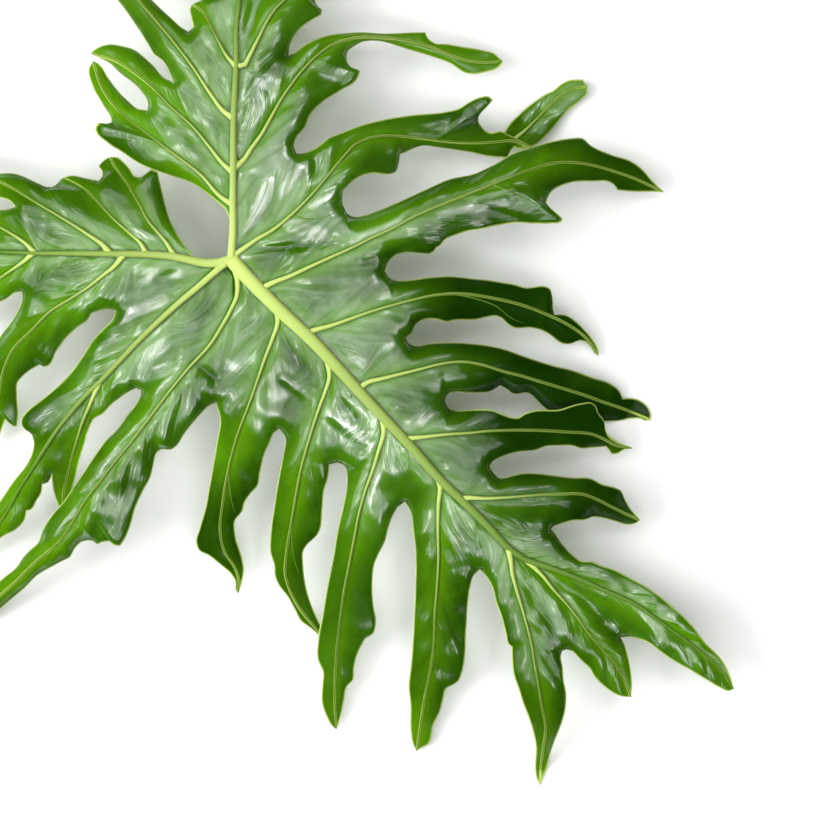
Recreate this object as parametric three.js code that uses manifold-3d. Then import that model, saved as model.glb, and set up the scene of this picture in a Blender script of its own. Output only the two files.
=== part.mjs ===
// Split-leaf philodendron leaf, cut and laid face up with its lobe tips on the table
import * as THREE from 'three';
import Module from 'manifold-3d';

// Sizes in millimetres; x and y are measured from the point where the main veins meet
const BLADE_THICK = 0.9;
const MIN_THICK = 0.7;
const STEM_TOP_RADIUS = 4.2;
const STEM_CUT_RADIUS = 4.6;
const STEM_LENGTH = 27;
const STEM_LEAN = [3.5, -4.5];
const REST_LEVEL = 0.45;
const SINUS_ROLL = 4;
const SINUS_ROLL_REACH = 8;
const SEAM_STEP = 16;
const PANEL_CROWN = 1.6;
const SIDE_VEIN_HALF = [1.3, 0.5];
const SIDE_VEIN_LIFT = 0.9;
const MARGIN_TOLERANCE = 0.5;
const MARGIN_STEP = 15;
const ROW_CHOICES = 81;
const CENTRE_SHIFT = [-41.2, 33.6];

// Main veins: points [x, y, height], half width and lift at each end, and what measures along it
const MAIN_VEINS = {
  front: {
    points: [[0, 0, 46], [10, -11, 47], [25, -26, 48.5], [40, -40, 50], [55, -56, 50.5], [70, -72.5, 50.5],
      [88, -91.5, 49.5], [104, -109.5, 47.5], [116, -121, 45.5], [128, -133, 42.5], [139, -144.5, 39],
      [147, -150, 36.5]],
    along: (p) => p[0], half: [3.8, 1.7], lift: [1.8, 1], keel: [3.4, 1.6],
  },
  back: {
    points: [[0, 0, 46], [1, 15, 47], [1, 30, 48], [1.2, 50, 48.5], [1.3, 70, 47.5], [2, 85, 46],
      [2.5, 96, 44.5]],
    along: (p) => p[1], half: [2, 1.5], lift: [1.3, 0.9], keel: [2.4, 1.5],
  },
  left: {
    points: [[0, 0, 46], [-5, -1.5, 46.4], [-12, -2, 47], [-20, -0.5, 47.6], [-28, 1.2, 48], [-42, 2.4, 48],
      [-60, 2.7, 46.5], [-80, 3, 44], [-99, 3.2, 41], [-118, 4, 38]],
    along: (p) => -p[0], half: [2.3, 0.9], lift: [1.3, 0.8], keel: [2.4, 1.3],
  },
  low: {
    points: [[0, 0, 46], [-8, -6.5, 47.2], [-16, -13.5, 47.6], [-25, -21, 47.2], [-35, -30, 46.2],
      [-45, -39.5, 44.8], [-55, -50, 43], [-66, -61.5, 40.5]],
    along: (p) => -p[0], half: [1.7, 1.3], lift: [1, 0.9], keel: [1.8, 1.4],
  },
};

// Lobes in clockwise order from the stem notch. Each has the main vein and place it leaves, its own vein,
// heights at a third, two thirds and the tip, the fall of its two margins, and the gap before it:
// where the gap's seam leaves a main vein and the bottom of the gap. Margins run clockwise.
const LOBES = [
  {
    name: 'backInner', from: ['back', 27], gap: { at: ['back', 21], sinus: [-1.3, 21, 46.8] },
    vein: [[-5, 31], [-15, 42], [-25, 50], [-35, 57.5], [-45, 65], [-55, 73], [-62, 81], [-67, 90], [-70, 100]],
    heights: [44, 35, 21], fall: [5, 4],
    rise: [[-2.5, 24.5], [-5, 27], [-10, 31.5], [-20, 38.5], [-30, 42], [-36, 44], [-45, 47.5], [-55, 54],
      [-60, 57], [-64.5, 60.5], [-67.5, 63], [-68, 66], [-66.5, 68.3], [-63, 67.5], [-60.3, 68.5], [-60.3, 70.5],
      [-64, 77], [-70, 87], [-72, 96.5]],
    back: [[-68, 99], [-62, 90.5], [-54, 81], [-46, 75]],
  },
  {
    name: 'backMiddle', from: ['back', 43], gap: { at: ['back', 35], sinus: [-42, 74.5, 35] },
    vein: [[-4, 47.5], [-10, 55], [-20, 67], [-30, 76], [-40, 86.5], [-50, 94.5], [-58, 99.5], [-71, 103.8]],
    heights: [45, 37, 25], fall: [4, 4],
    rise: [[-41.5, 77], [-46, 85.5], [-56, 94], [-62, 99.5], [-67, 102]],
    back: [[-69, 105.5], [-66, 107], [-61, 108], [-55, 107], [-49, 105], [-45, 102], [-40, 97.5], [-32, 89.5]],
  },
  {
    name: 'backOuter', from: ['back', 70], gap: { at: ['back', 57], sinus: [-29, 88.5, 38] },
    vein: [[-4, 74], [-10, 82], [-20, 97], [-30, 110], [-40, 122], [-47, 130], [-55, 138.5],
      [-60.5, 145], [-65, 151], [-69.5, 158.5], [-73, 167]],
    heights: [42, 32, 12], fall: [5, 4],
    rise: [[-30, 91.5], [-35, 100], [-38.5, 102.5], [-41, 106.5], [-46, 114.5], [-57, 130], [-63, 137],
      [-68, 143], [-68, 149], [-71, 158]],
    back: [[-68, 158], [-62, 150], [-56, 146], [-49, 139.5], [-40, 129.5], [-30, 120], [-25, 115.5]],
  },
  {
    name: 'topTooth', from: ['back', 96], gap: { at: ['back', 85], sinus: [-21.5, 113.5, 36.5] },
    vein: [[-2, 101], [-6, 108], [-10, 116], [-13, 122], [-19.5, 127.5]],
    heights: [43.5, 41, 36], fall: [2, 2],
    rise: [[-19, 116], [-20, 121], [-20.7, 125]],
    back: [[-17.5, 128.3], [-14, 130]],
  },
  {
    name: 'topMiddle', from: ['back', 96], gap: { at: ['back', 96], sinus: [-11, 133.5, 34] },
    vein: [[2.5, 105], [2.5, 115], [3.5, 125], [5, 138], [6, 152], [7, 166], [8, 180], [10, 197]],
    heights: [39.5, 25, -6], fall: [5, 5],
    rise: [[-10, 138], [-11.5, 145], [-14.5, 150], [-13, 157], [-9, 163], [-5, 171], [-1, 180], [4, 190]],
    back: [[14, 189], [19, 180], [22, 171], [26.5, 166], [27, 160], [23, 154]],
  },
  {
    name: 'topRight', from: ['back', 96], gap: { at: ['back', 96], sinus: [20.5, 149, 29] },
    vein: [[7, 97], [10, 103], [14, 111], [18, 119], [22, 125], [28, 131], [35, 139], [43, 148], [52, 158], [63, 171]],
    heights: [41, 30, 10], fall: [4, 5],
    rise: [[24, 153], [30, 157], [37, 163], [42, 164], [48, 167], [56, 171]],
    back: [[62, 164], [59, 156], [55, 150], [51, 142], [46, 137], [41.2, 131], [41.5, 128], [44.7, 125],
      [44.5, 122.5], [41, 120.5], [34, 115.5], [30.5, 111], [28.5, 105.5]],
  },
  {
    name: 'rightStrap', from: ['back', 45], gap: { at: ['back', 72], sinus: [28.3, 102, 36] },
    vein: [[6, 49], [10, 55], [15, 62], [20, 71], [25, 80], [30, 87.5], [35, 94], [40, 99.5], [45, 104],
      [50, 107.5], [56, 109.7], [65, 111.6], [75, 111.4], [85, 110.6], [95, 108.6], [105, 105], [115, 101.2],
      [125, 99.8], [135.5, 100.5]],
    heights: [40, 27, 12], fall: [3, 4],
    rise: [[31, 103], [35, 106], [39, 108.5], [48, 112], [55, 113], [65, 113.7], [75, 113.2], [90, 114],
      [96.5, 114.3], [97, 112.6], [101, 109], [108, 108.5], [115, 107.5], [125, 106], [131, 104.5]],
    back: [[134.5, 98.5], [132, 96.5], [127, 95], [122, 94], [117, 94.5], [109, 99.5], [100, 102.7], [90, 105.5],
      [70, 110.4], [66, 110], [61, 107.5], [57.5, 104.5], [57.3, 99], [59.5, 96], [64, 94.3], [62.5, 90.5],
      [54, 84.5], [45, 78.5], [39, 72], [36.5, 66], [32, 60.5], [31, 56]],
  },
  {
    name: 'rightFork', from: ['front', 0], gap: { at: ['back', 24], sinus: [32.5, 52.3, 42.5] },
    vein: [[3, 3], [8, 6.5], [13, 10], [20, 14], [30, 22], [40, 32], [46, 39], [52, 46.5], [57, 52.5], [61, 57],
      [66, 59.8], [72, 61.5], [80, 62], [95, 61], [110, 59.5], [125, 59.3], [134, 60], [139, 60.6], [144, 59.7],
      [151, 57]],
    heights: [46, 29, 8], fall: [3, 4],
    rise: [[36, 52.7], [43, 56], [48, 60], [55, 63], [65, 67], [76, 70], [90, 72.5], [108, 74.5], [113, 75.8],
      [121, 80.5], [125, 82], [128.5, 82.2], [130.5, 80.5], [128, 77.5], [125, 75], [123, 72], [123, 70],
      [124.5, 67.5], [127, 65], [130, 64.2], [134, 65.3], [138, 63.5], [144, 60.9]],
    back: [[146.5, 58.2], [143, 58.5], [141, 57.3], [138.5, 54], [137.5, 52], [130, 52.5], [118, 55], [103, 57],
      [95, 57.8], [91, 56.5], [87, 54.5], [83.5, 53], [82.7, 47], [81.3, 43.8], [79, 43], [70, 43], [65, 42],
      [58, 37], [55.5, 34], [55, 30]],
  },
  {
    name: 'rightBroad', from: ['front', 14], gap: { at: ['front', 8], sinus: [55.3, 27, 43] },
    vein: [[22, -11.2], [28, -9], [40, -3.5], [50, 1], [60, 5.5], [70, 10.5], [80, 15], [90, 20.5], [100, 25],
      [110, 29], [120, 33], [130, 37], [140, 41], [150, 45], [160, 48], [170, 48.7], [180, 47.5], [190, 45],
      [200, 42], [216.5, 35]],
    heights: [50, 45, 9], fall: [6, 4],
    rise: [[57.5, 22.5], [60.5, 21], [66, 21.5], [72, 23.5], [84, 28.5], [95, 33.5], [110, 40], [120, 42], [130, 46.5], [140, 52.5],
      [150, 56], [160, 59], [170, 60.7], [175, 60.8], [179, 57.5], [190, 52.8], [200, 49.8], [206, 45.5], [210, 41]],
    back: [[213, 35.1], [200, 35], [193, 35.3], [191, 38], [189, 39.2], [180, 39.5], [170, 39], [165, 37.3],
      [160, 34.5], [157.5, 31], [156.5, 28], [159, 25], [162, 22.5], [165, 20], [164, 18.5], [160, 18],
      [140, 18], [131, 16.8], [124, 15], [117, 14], [111, 12], [106, 9.5], [104, 7], [102, 6], [101, 4.3],
      [99, 3], [95, 3.2], [85, 3.4], [82, 2.5], [79, 0], [77, -3]],
  },
  {
    name: 'rightSecond', from: ['front', 37], gap: { at: ['front', 26], sinus: [76.2, -6, 43] },
    vein: [[42, -35.2], [50, -33], [60, -29.5], [70, -26], [80, -23], [90, -20.3], [100, -18], [110, -17],
      [120, -17.4], [130, -19], [140, -21], [150, -24], [160, -28], [170, -33], [178, -39], [184, -47.3]],
    heights: [47, 27, 3], fall: [4, 4],
    rise: [[78, -9], [81, -10.6], [85, -10.8], [100, -9], [110, -8.5], [120, -9.5], [130, -10.5], [140, -12], [148, -13.8], [152, -13.2],
      [156, -12.8], [159, -14], [160, -17], [160.5, -24], [161.2, -27.3], [168, -27.6], [171, -29.5],
      [177, -35], [181, -39.5], [183.5, -44]],
    back: [[182, -46], [180, -43], [177, -40.3], [174, -39.8], [170, -41.3], [167, -41.6], [164, -40.7],
      [160, -37.5], [155, -34.8], [150, -33.5], [140, -33.2], [138, -32], [135, -29], [132, -27.7],
      [128, -28], [122, -29.6], [110, -30.3], [107, -31], [103, -29.8], [98, -29.4], [94, -30.5], [91, -33],
      [90, -35.8]],
  },
  {
    name: 'rightThird', from: ['front', 63], gap: { at: ['front', 50], sinus: [86.5, -39, 41.5] },
    vein: [[68, -61.3], [75, -59.5], [85, -57], [95, -54.5], [105, -52], [115, -51], [125, -52.5], [135, -55.5],
      [145, -58], [155, -61], [165, -64], [175, -67], [185, -70.5], [197, -74.5], [210.3, -79.8]],
    heights: [46, 26, -6], fall: [4, 4],
    rise: [[87.8, -41.7], [92, -43.3], [98, -42.3], [105, -41.8], [115, -41.8], [125, -42.7], [135, -44.5],
      [145, -48], [160, -52.7], [170, -55], [180, -58.5], [190, -61.8], [194, -65], [196, -69.1], [200, -69],
      [204, -69.7], [208, -72.3], [210.5, -77]],
    back: [[207.5, -80.4], [205.5, -79.4], [202, -79.2], [195, -80], [180, -80.2], [170, -78.7], [163, -77.2],
      [158, -74.7], [154, -71], [151, -67.8], [149, -66.3], [140, -66.2], [138, -64.5], [134, -62.2],
      [129, -65.3], [124, -66], [116, -66], [111, -65.8], [108, -66.6], [106.4, -68.5]],
  },
  {
    name: 'rightFourth', from: ['front', 86], gap: { at: ['front', 74], sinus: [106.2, -71, 41.5] },
    vein: [[91, -88.9], [97, -88.3], [107, -87.2], [118, -86.5], [128, -85.5], [140, -85.1], [155, -85.2],
      [168, -86], [180, -87], [188, -90.3], [193, -93], [197, -93.6], [201, -94.2]],
    heights: [46, 31, 6], fall: [3, 4],
    rise: [[107.3, -73.5], [110, -75.1], [120, -75], [130, -75.2], [136, -77.5], [140, -78.7], [143, -78.7],
      [146, -76.8], [150, -75.5], [165, -74.5], [170, -72.8], [175, -71.6], [180, -71.3], [182, -72.8],
      [183, -76], [186.3, -80.3], [187, -84.5], [188.5, -87.5], [192, -90.3], [197, -92.7]],
    back: [[198.5, -94.3], [196.5, -94.8], [193.5, -96.7], [190.5, -97], [189, -94.8], [187.5, -92.9],
      [180, -93.7], [174, -94], [171, -92.9], [163, -92.7], [156, -93.2], [152, -94.8], [142, -96],
      [134, -98.4], [130, -100.7]],
  },
  {
    name: 'rightFifth', from: ['front', 114], gap: { at: ['front', 100], sinus: [128.3, -102.8, 40] },
    vein: [[119, -118.7], [125, -119], [135, -118.7], [145, -118], [155, -117.2], [165, -116.9], [175, -117],
      [182, -119.5], [189, -123], [196, -126.5], [204.4, -130.3]],
    heights: [44, 37, 12], fall: [4, 4],
    rise: [[129.3, -105], [131, -107.3], [133.5, -109.2], [136.5, -109], [140, -107.9], [145, -106.8],
      [152, -106.8], [160, -107.8], [170, -109], [179, -109.3], [185, -112.2], [192, -114], [194.5, -115.3],
      [196, -118.5], [199, -124], [202, -127.7]],
    back: [[202, -131.8], [198, -132.3], [192, -130.7], [186, -129], [179.5, -128.4], [177, -129.5],
      [170, -130.2], [163, -132], [160.5, -132.9]],
  },
  {
    name: 'frontTip', from: ['front', 147], gap: { at: ['front', 130], sinus: [159.3, -134.3, 33] },
    vein: [[155, -152.6], [165, -156], [175, -160], [185, -164.5], [195, -168.8], [203, -172.8], [211, -178.5],
      [220, -185], [230, -192.3], [239, -199.5], [246, -206.5], [251.3, -215]],
    heights: [34, 28, 11], fall: [4, 4],
    rise: [[161.5, -137], [164, -140.8], [167, -144.5], [171, -148.5], [174, -150.4], [180, -150.9],
      [184, -152.6], [190, -154.6], [199, -159], [208, -164], [215, -169.3], [222, -175], [230, -183],
      [239, -194], [245, -200], [248.5, -206], [250.5, -211]],
    back: [[248.5, -216], [244, -214], [238, -210.5], [229, -205], [220, -200], [213, -195], [208, -191.3],
      [203, -189.3], [198, -188.5]],
  },
  {
    name: 'leftSixth', from: ['front', 147], gap: { at: ['front', 147], via: [[163, -160], [175, -168.5]], sinus: [194.3, -189, 22] },
    vein: [[155, -157.5], [161, -165], [166, -170.5], [171, -176.5], [177, -185], [183, -192.5],
      [190, -200], [195, -208], [199.8, -218.8]],
    heights: [33, 28, 15], fall: [4, 4],
    rise: [[196.5, -193], [198, -198.5], [199.3, -205], [200, -212]],
    back: [[197, -218.7], [193, -217.8], [188, -214.8], [184, -211.5], [181, -208], [178.5, -204],
      [175.5, -201.2], [173, -198.7], [170.5, -195.8]],
  },
  {
    name: 'leftFifth', from: ['front', 138], gap: { at: ['front', 143], sinus: [167.3, -194.5, 29] },
    vein: [[139.3, -150], [140, -156], [142, -164], [144.7, -173], [147.5, -183], [149.7, -192], [151, -200],
      [153, -211], [155, -223], [157, -233], [156, -245], [155, -255], [154.6, -264.2]],
    heights: [36, 27, -6], fall: [3, 3],
    rise: [[165, -195.2], [164.2, -198], [165, -203], [165.8, -210], [167, -217], [166.7, -225], [165, -232],
      [162, -240], [159.5, -248], [157.3, -257]],
    back: [[152.7, -261], [152.2, -254], [152.3, -244], [150.3, -234.5], [148, -228], [145.3, -221],
      [143, -213.5], [141, -208], [140, -200], [139.8, -193.3], [138.3, -192.2], [136.8, -187],
      [134.5, -178], [131.7, -170], [130.5, -164.5], [128.5, -160]],
  },
  {
    name: 'leftFourth', from: ['front', 102], gap: { at: ['front', 120], sinus: [123.8, -154.3, 36] },
    vein: [[104, -113], [103.3, -121], [103, -134], [103.2, -150], [102.3, -166], [101.3, -178], [101, -190],
      [99.5, -204], [97, -216], [95, -228], [92.3, -247]],
    heights: [36, 19, 2], fall: [4, 3],
    rise: [[120.5, -157.5], [119, -163], [118, -170], [117.2, -183], [116.5, -196], [115, -207], [113.3, -211],
      [110.5, -213], [107.2, -214.7], [105.5, -220.5], [104, -226.5], [100.5, -234], [99.5, -240],
      [98.3, -243], [95, -244.8]],
    back: [[90.8, -244.5], [89.3, -236], [89.2, -224], [88.3, -213.5], [89.5, -203], [90.3, -192], [91, -178],
      [91.7, -162], [91.8, -147], [90.5, -134], [89.3, -125.5]],
  },
  {
    name: 'leftThird', from: ['front', 75], gap: { at: ['front', 88], sinus: [86.5, -120.5, 38] },
    vein: [[76, -86], [73.5, -95], [70.5, -105], [66.5, -116], [63.5, -127], [61, -140], [58, -155], [55.5, -168],
      [53.5, -183], [52, -197], [51.2, -210], [51, -223], [51.7, -236]],
    heights: [40, 21, 3], fall: [4, 3],
    rise: [[83, -123], [80.5, -127], [78, -133.5], [76.5, -140], [73, -147], [71, -152], [70, -161],
      [70.5, -173], [71.7, -182], [70.5, -187], [66.5, -189.5], [64.5, -193], [61.5, -200], [60.5, -206],
      [60.3, -210.3], [57, -214], [55.5, -221], [54, -228]],
    back: [[50, -235], [47, -230], [44.5, -222.5], [44.8, -213], [45.2, -207], [42.5, -200], [43, -189],
      [45, -178.5], [47.5, -164], [50.3, -150], [53.3, -133], [56, -122], [57.5, -114], [57.6, -106.5],
      [56.5, -102.5]],
  },
  {
    name: 'leftSecond', from: ['front', 47], gap: { at: ['front', 60], sinus: [53, -100.8, 38.5] },
    vein: [[49, -59], [46.5, -67], [43.5, -75], [40.5, -84], [37.5, -94], [34.5, -105], [32, -118], [29.5, -132],
      [27, -147], [26.3, -157], [28.8, -166], [33, -174], [37.2, -180], [42.4, -186], [47, -194]],
    heights: [43, 24, 2], fall: [3, 3],
    rise: [[48.5, -102], [47.8, -109], [46.3, -114], [45, -125], [43.9, -134.5], [42.5, -137.3], [37.5, -142],
      [35.5, -145], [35.3, -153], [37, -166], [40.3, -176.5], [43.5, -183.5], [46, -188.5]],
    back: [[43, -188.6], [38.5, -184.5], [34, -181], [31, -175], [27.5, -168.5], [23.5, -163.3], [21.3, -158.5],
      [21, -153], [19, -146], [19.2, -137], [21, -124], [23.3, -110], [25.8, -98], [26.7, -88]],
  },
  {
    name: 'leftFirst', from: ['front', 22], gap: { at: ['front', 34], sinus: [23.8, -84, 38] },
    vein: [[23.3, -31], [20.5, -40], [17, -49], [13.5, -59], [10, -69], [6.5, -78], [3, -87], [0, -97], [-3, -110],
      [-5, -122], [-6.5, -135], [-4.5, -146], [0.5, -154], [2.6, -160], [2.2, -167.3]],
    heights: [43, 24, 4], fall: [3, 3],
    rise: [[20.7, -86.5], [19, -90.5], [16, -97.5], [14, -106], [12.3, -113], [9.5, -116], [6, -121],
      [4.8, -125.5], [1, -130], [1, -138], [4, -149], [5, -155], [4.2, -161]],
    back: [[1, -166], [0.8, -161], [-1, -157.8], [-7, -152.3], [-13, -147.5], [-17.3, -145.3], [-18.7, -141],
      [-17, -135], [-13.3, -123], [-11.3, -112], [-9, -100], [-7.2, -90], [-5.5, -79]],
  },
  {
    name: 'sideLong', from: ['front', 0], gap: { at: ['front', 11], sinus: [-7.5, -71.3, 39.5] },
    vein: [[3.3, -12], [3, -18], [0, -25], [-5, -34], [-10, -42], [-20, -53], [-30, -65], [-38, -75.5],
      [-46, -86], [-53, -95], [-60, -103.5], [-66, -111.5], [-73, -120.5], [-80, -132], [-87, -141.5],
      [-98, -150.5], [-110, -162], [-123, -173], [-136, -184], [-150, -196]],
    heights: [46, 34, -6], fall: [6, 4],
    rise: [[-10.5, -72.2], [-14, -75], [-18, -79.5], [-24, -87], [-27.5, -92.5], [-30, -94.4], [-35, -94.3],
      [-37.7, -96.5], [-39.2, -102], [-41, -109], [-44.5, -115.5], [-48, -123], [-51.3, -134], [-54, -140],
      [-56, -142.7], [-58.5, -142.5], [-60.5, -140.3], [-65, -141], [-67, -142], [-69.5, -140.2], [-76, -141],
      [-79, -144], [-81.5, -148.5], [-85, -150.2], [-92, -154], [-98, -157.5], [-105, -164.3], [-112, -170],
      [-120, -177], [-134, -188]],
    back: [[-143, -187], [-135, -178], [-125, -168.5], [-116, -160], [-108, -153.5], [-104.8, -149],
      [-100.5, -144.5], [-97, -141.5], [-94.5, -135], [-91, -129], [-84, -121], [-79, -114], [-73, -105],
      [-68.5, -98.5], [-63, -91], [-57, -85], [-52, -78], [-47, -71.5], [-45.3, -68]],
  },
  {
    name: 'sideInner', from: ['low', 66], gap: { at: ['low', 22], sinus: [-45, -65, 38] },
    vein: [[-71, -73], [-74.5, -81], [-77.5, -90], [-80.5, -99], [-83, -108], [-85, -116], [-85.5, -127]],
    heights: [36, 27, 15], fall: [4, 2],
    rise: [[-47.5, -63.7], [-50, -65], [-55, -68.3], [-60, -72], [-64, -76.3], [-69.5, -79.7], [-71.5, -84],
      [-74, -92], [-76.5, -100], [-79, -109], [-81.5, -117]],
    back: [[-88.5, -121], [-90, -115]],
  },
  {
    name: 'sideOuter', from: ['low', 66], gap: { at: ['low', 66], via: [[-76.3, -78.3], [-85.5, -93.5]], sinus: [-90.6, -107, 25] },
    vein: [[-72, -67], [-80, -76], [-88, -86], [-94, -95], [-101, -106], [-107, -115], [-112, -124], [-118, -133],
      [-126, -144], [-138, -159]],
    heights: [34, 20, 4], fall: [3, 5],
    rise: [[-92.5, -111], [-95.3, -112], [-95.7, -116], [-98.5, -120.5], [-101, -124.8], [-103.3, -125.5],
      [-104.5, -130], [-108, -134], [-116, -138.5], [-122, -143], [-131, -152]],
    back: [[-136, -151], [-128, -138], [-122, -128], [-116, -119.5], [-109, -110], [-103.5, -103.5],
      [-100, -97], [-99, -91], [-100.3, -86.5], [-105, -83], [-105.3, -80], [-102, -75.5], [-96, -70.7],
      [-83, -59.5], [-76, -51], [-72, -45], [-68.5, -39.8], [-63, -34], [-59, -30]],
  },
  {
    name: 'leftLow', from: ['left', 53], gap: { at: ['left', 0], sinus: [-57.7, -25.5, 41] },
    vein: [[-58, -3.5], [-65, -9], [-70, -13], [-80, -19.5], [-90, -25.5], [-100, -35], [-110, -45], [-114, -53],
      [-117, -63], [-118.5, -75], [-121, -93]],
    heights: [41, 25, 5], fall: [4, 5],
    rise: [[-60, -24.6], [-67, -25.6], [-70.3, -27], [-71.5, -29.5], [-77, -33.5], [-83, -39], [-88, -45.5],
      [-92, -52.8], [-94, -53.3], [-96, -52], [-99.5, -53.5], [-104.5, -57], [-108, -61], [-108.7, -68],
      [-108.3, -78], [-109, -83], [-110.5, -83.3], [-114.3, -79.3], [-117, -85], [-119, -90]],
    back: [[-123.5, -86], [-125, -76], [-125, -66], [-123.5, -56], [-121, -47], [-117, -39.5], [-114, -35.5],
      [-110, -30.5], [-106.5, -25], [-104.5, -19]],
  },
  {
    name: 'leftLower', from: ['left', 99], gap: { at: ['left', 76], sinus: [-104.7, -15.8, 34] },
    vein: [[-103, -0.5], [-108, -4], [-114, -8], [-121, -13], [-130, -19.5], [-140, -27], [-151, -36.5]],
    heights: [35, 25, 11], fall: [4, 3],
    rise: [[-108, -16], [-112, -18.7], [-118, -21.5], [-124, -26], [-131, -31], [-140, -34.5]],
    back: [[-146, -29], [-140, -21], [-135, -15], [-131, -9]],
  },
  {
    name: 'leftEnd', from: ['left', 118], gap: { at: ['left', 109], sinus: [-128, -4.5, 31] },
    vein: [[-126, 4.3], [-135, 4.5], [-145, 4], [-156, 3], [-169, 1]],
    heights: [31, 18, -6], fall: [3, 3],
    rise: [[-133, -5], [-140, -6], [-147, -6], [-155, -3.5], [-163, -1]],
    back: [[-164, 4], [-155, 8], [-147, 11], [-139, 13.5], [-133, 13.5]],
  },
  {
    name: 'leftUpperOut', from: ['left', 98], gap: { at: ['left', 110], sinus: [-128.5, 12.5, 30] },
    vein: [[-102, 7.5], [-110, 13], [-118, 17.5], [-128, 22], [-138, 26], [-152, 31]],
    heights: [36, 27, 13], fall: [3, 3],
    rise: [[-134, 17], [-140, 19.5], [-146, 24]],
    back: [[-145, 32.5], [-136, 31.5], [-127, 28.5], [-116, 24.8], [-111, 25.2]],
  },
  {
    name: 'leftUpper', from: ['left', 60], gap: { at: ['left', 80], sinus: [-108, 26.5, 35] },
    vein: [[-64, 7.3], [-70, 11.5], [-80, 18], [-90, 24], [-100, 30], [-110, 36], [-118, 40], [-127, 44.5],
      [-136, 49], [-147, 55]],
    heights: [42, 31, 12], fall: [3, 4],
    rise: [[-109.5, 28.5], [-112, 30], [-116, 31.2], [-124, 35], [-133, 40], [-141, 47]],
    back: [[-140, 56], [-132, 54], [-125, 48.5], [-116, 43], [-112, 43.3], [-107, 42.5], [-102, 40.5], [-97, 38]],
  },
  {
    name: 'leftNear', from: ['left', 42], gap: { at: ['left', 50], sinus: [-92.5, 36, 34] },
    vein: [[-45, 8], [-50, 12.5], [-60, 21.5], [-65, 27], [-70, 32], [-75, 36], [-80, 38.8], [-84.5, 41]],
    heights: [44, 39, 31], fall: [3, 3],
    rise: [[-90, 36], [-87, 38.3]],
    back: [[-80, 42], [-75, 41], [-70, 39.9]],
  },
  {
    name: 'leftInner', from: ['left', 28], gap: { at: ['left', 36], sinus: [-66.3, 39.2, 35] },
    vein: [[-32, 8], [-37, 14], [-42, 20], [-45, 26], [-48, 31], [-51, 36], [-54, 40], [-58, 45.5], [-61, 51.3]],
    heights: [45, 40, 31], fall: [3, 4],
    rise: [[-64.7, 41.5], [-65, 44.5], [-66.8, 46.7], [-64, 49.6]],
    back: [[-57, 51], [-54, 48.5], [-51, 45], [-48.7, 41.5], [-46, 40.8], [-43, 42.3], [-40, 45], [-37, 43.5],
      [-35.5, 37], [-34, 31], [-32.5, 25], [-31, 20], [-28, 14], [-24, 7.5], [-21.5, 4.5]],
  },
];
const LAST_GAP = { at: ['left', 20], sinus: [-19.5, 2.8, 46.8] };
const NOTCH = [-3.3, 1];
const BARE_EDGES = [
  { gap: LOBES[0].gap, edge: [[-1.6, 5], [-1.5, 12]], side: 1 },
  { gap: LAST_GAP, edge: [[-8, 0.2], [-14, 0.4]], side: -1 },
];

// The end of the fork lobe folds under itself and comes out again, flat on the table
const FOLDED_END = {
  start: [138, 59, 11],
  vein: [[142, 62], [147, 66], [152, 71], [158, 77], [165, 83.5], [171, 87], [178.3, 88.3]],
  heights: [6, 4.5, 5], fall: [1, 1],
  rise: [[136.5, 65], [139, 69], [145, 75], [151, 80], [158, 84.8], [161, 86], [165, 89.3], [169, 91.3],
    [176, 91.7]],
  back: [[178.2, 85], [175, 81.5], [169, 76.5], [163, 70], [158, 64], [154.5, 60.5], [151, 58.3], [144, 56.5]],
};

const mix = (a, b, t) => a + (b - a) * t;
const smooth = (t) => t * t * (3 - 2 * t);
const clamp01 = (t) => Math.min(1, Math.max(0, t));
const span = (a, b) => Math.hypot(a[0] - b[0], a[1] - b[1]);
const mixPoint = (a, b, t) => a.map((value, axis) => mix(value, b[axis], t));
const turn = (a, b, c) => (b[0] - a[0]) * (c[1] - a[1]) - (b[1] - a[1]) * (c[0] - a[0]);

// Running length at each point of a line
function lengths(line) {
  const out = [0];
  for (let i = 1; i < line.length; i += 1) {
    out.push(out[i - 1] + span(line[i], line[i - 1]));
  }
  return out;
}

function pointAt(line, runs, s) {
  let i = 1;
  while (i < line.length - 1 && runs[i] < s) {
    i += 1;
  }
  return mixPoint(line[i - 1], line[i], clamp01((s - runs[i - 1]) / (runs[i] - runs[i - 1])));
}

// Leaves out points that hardly bend the line
function plainer(line, tolerance) {
  const a = line[0];
  const b = line[line.length - 1];
  const across = Math.max(span(a, b), 1e-6);
  let far = [0, 0];
  for (let i = 1; i < line.length - 1; i += 1) {
    const d = Math.abs(turn(a, b, line[i])) / across;
    if (d > far[0]) {
      far = [d, i];
    }
  }
  if (far[0] < tolerance) {
    return [a, b];
  }
  return [...plainer(line.slice(0, far[1] + 1), tolerance).slice(0, -1),
    ...plainer(line.slice(far[1]), tolerance)];
}

// Splits the long parts of a line
function closer(line) {
  return line.flatMap((p, i) => {
    const steps = i ? Math.ceil(span(p, line[i - 1]) / MARGIN_STEP) : 1;
    return Array.from({ length: steps }, (_, k) => (i ? mixPoint(line[i - 1], p, (k + 1) / steps) : p));
  });
}

// Height along a vein from its four given heights
function heightCurve(z) {
  const ends = [2 * z[0] - z[1], ...z, 2 * z[3] - z[2]];
  return (t) => {
    const i = Math.min(2, Math.floor(t * 3));
    const u = t * 3 - i;
    const [a, b, c, d] = ends.slice(i, i + 4);
    return 0.5 * (2 * b + (c - a) * u + (2 * a - 5 * b + 4 * c - d) * u * u + (3 * b - a - 3 * c + d) * u * u * u);
  };
}

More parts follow.
